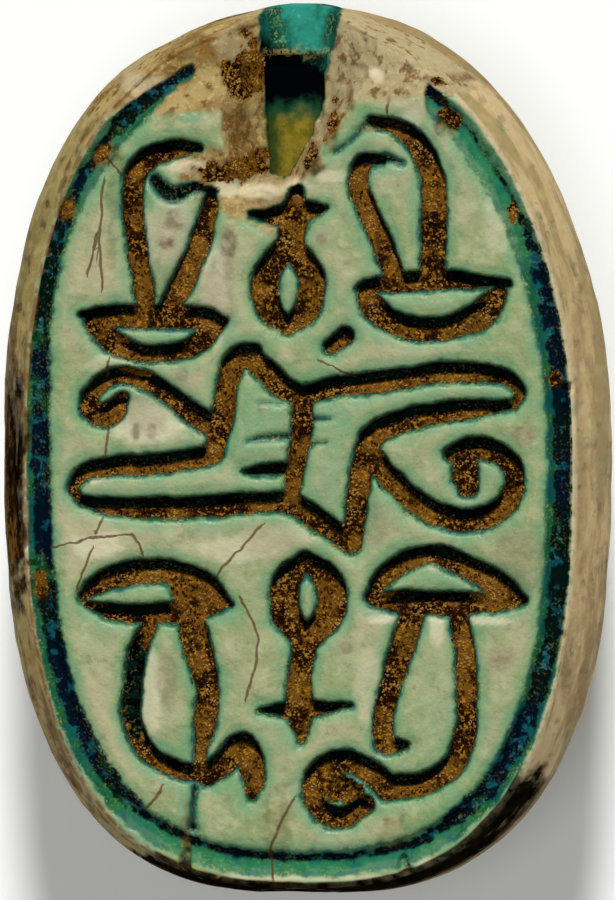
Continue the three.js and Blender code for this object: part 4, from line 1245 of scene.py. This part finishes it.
class SCARAB_OT_earth(bpy.types.Operator):
    """Scatters the grains of earth that are left in the carving"""

    bl_idname = "scarab.make_earth"
    bl_label = "Make the earth"

    def execute(self, context):
        look = context.scene.scarab_look
        stone = bpy.data.objects.get("scarab_stone")
        if stone is None:
            raise RuntimeError("make the stone first")
        tree = grain_tree(packed_earth(look))
        shape = apply_tree(
            stone, tree,
            {"Grains per mm2": look.grain_density, "Grain size": look.grain_size / MM},
        )
        shape.shade_smooth()
        earth = bpy.data.objects.new("earth_in_carving", shape)
        context.scene.collection.objects.link(earth)
        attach(earth, "root")
        return {"FINISHED"}


class SCARAB_OT_stage(bpy.types.Operator):
    """Makes the floor, the lights and the camera"""

    bl_idname = "scarab.make_stage"
    bl_label = "Make the stage"

    def execute(self, context):
        look = context.scene.scarab_stage
        scene = context.scene
        floor = new_object(
            "floor",
            [(x * FLOOR_REACH, y * FLOOR_REACH, 0) for x, y in ((-1, -1), (1, -1), (1, 1), (-1, 1))],
            [(0, 1, 2, 3)],
        )
        paint = bpy.data.materials.new("pale_floor")
        paint.use_nodes = True
        shader = paint.node_tree.nodes["Principled BSDF"]
        shader.inputs["Base Color"].default_value = (*look.floor_colour, 1)
        shader.inputs["Roughness"].default_value = 0.9
        floor.data.materials.append(paint)

        world = bpy.data.worlds.new("studio")
        scene.world = world
        world.use_nodes = True
        world.node_tree.nodes["Background"].inputs[0].default_value = (1, 1, 1, 1)
        world.node_tree.nodes["Background"].inputs[1].default_value = look.fill_power

        # Two soft lights, with their width in degrees and their direction: one from beyond the head
        # end, which shades the upper walls of the cuts, and one from straight above.
        lights = (
            ("key", look.key_power, 8, (-0.05, -0.7, -0.71)),
            ("overhead", look.overhead_power, 20, (0, 0, -1)),
        )
        for name, power, width, towards in lights:
            light = bpy.data.lights.new(name, "SUN")
            light.energy = power
            light.angle = math.radians(width)
            lamp = bpy.data.objects.new(name, light)
            scene.collection.objects.link(lamp)
            lamp.rotation_euler = Vector(towards).to_track_quat("-Z", "Y").to_euler()

        lens = bpy.data.cameras.new("camera")
        lens.lens = 36 * CAMERA_AWAY / PICTURE_HEIGHT
        lens.clip_start = 0.01
        lens.clip_end = 10
        camera = bpy.data.objects.new("camera", lens)
        scene.collection.objects.link(camera)
        back = Vector(
            (math.tan(math.radians(CAMERA_TILT_X)), math.tan(math.radians(CAMERA_TILT_Y)), 1)
        ).normalized()
        # The middle of the picture, on the plane of the carved face.
        aim = Vector((0.18, 0.15, HEIGHT)) * MM
        up = Vector((0, 1, 0))
        right = up.cross(back).normalized()
        up = back.cross(right)
        camera.location = aim + back * CAMERA_AWAY * MM
        rotation = [[right[i], up[i], back[i]] for i in range(3)]
        camera.rotation_euler = Matrix(rotation).to_euler()
        scene.camera = camera
        scene.view_settings.view_transform = "Standard"
        return {"FINISHED"}


class SCARAB_PT_panel(bpy.types.Panel):
    """The amulet's steps and settings"""

    bl_idname = "SCARAB_PT_panel"
    bl_label = "Scarab"
    bl_space_type = "VIEW_3D"
    bl_region_type = "UI"
    bl_category = "Scarab"

    def draw(self, context):
        for group in (context.scene.scarab_look, context.scene.scarab_stage):
            for name in group.bl_rna.properties.keys():
                if name not in ("rna_type", "name"):
                    self.layout.prop(group, name)
        for operator in OPERATORS:
            self.layout.operator(operator.bl_idname)


OPERATORS = (SCARAB_OT_stone, SCARAB_OT_earth, SCARAB_OT_stage)
CLASSES = (ScarabLook, StageLook, *OPERATORS, SCARAB_PT_panel)


def register():
    for cls in CLASSES:
        bpy.utils.register_class(cls)
    bpy.types.Scene.scarab_look = PointerProperty(type=ScarabLook)
    bpy.types.Scene.scarab_stage = PointerProperty(type=StageLook)


def unregister():
    del bpy.types.Scene.scarab_look
    del bpy.types.Scene.scarab_stage
    for cls in reversed(CLASSES):
        bpy.utils.unregister_class(cls)


def main():
    register()
    bpy.ops.scarab.make_stone()
    bpy.ops.scarab.make_earth()
    bpy.ops.scarab.make_stage()


if __name__ == "__main__":
    main()
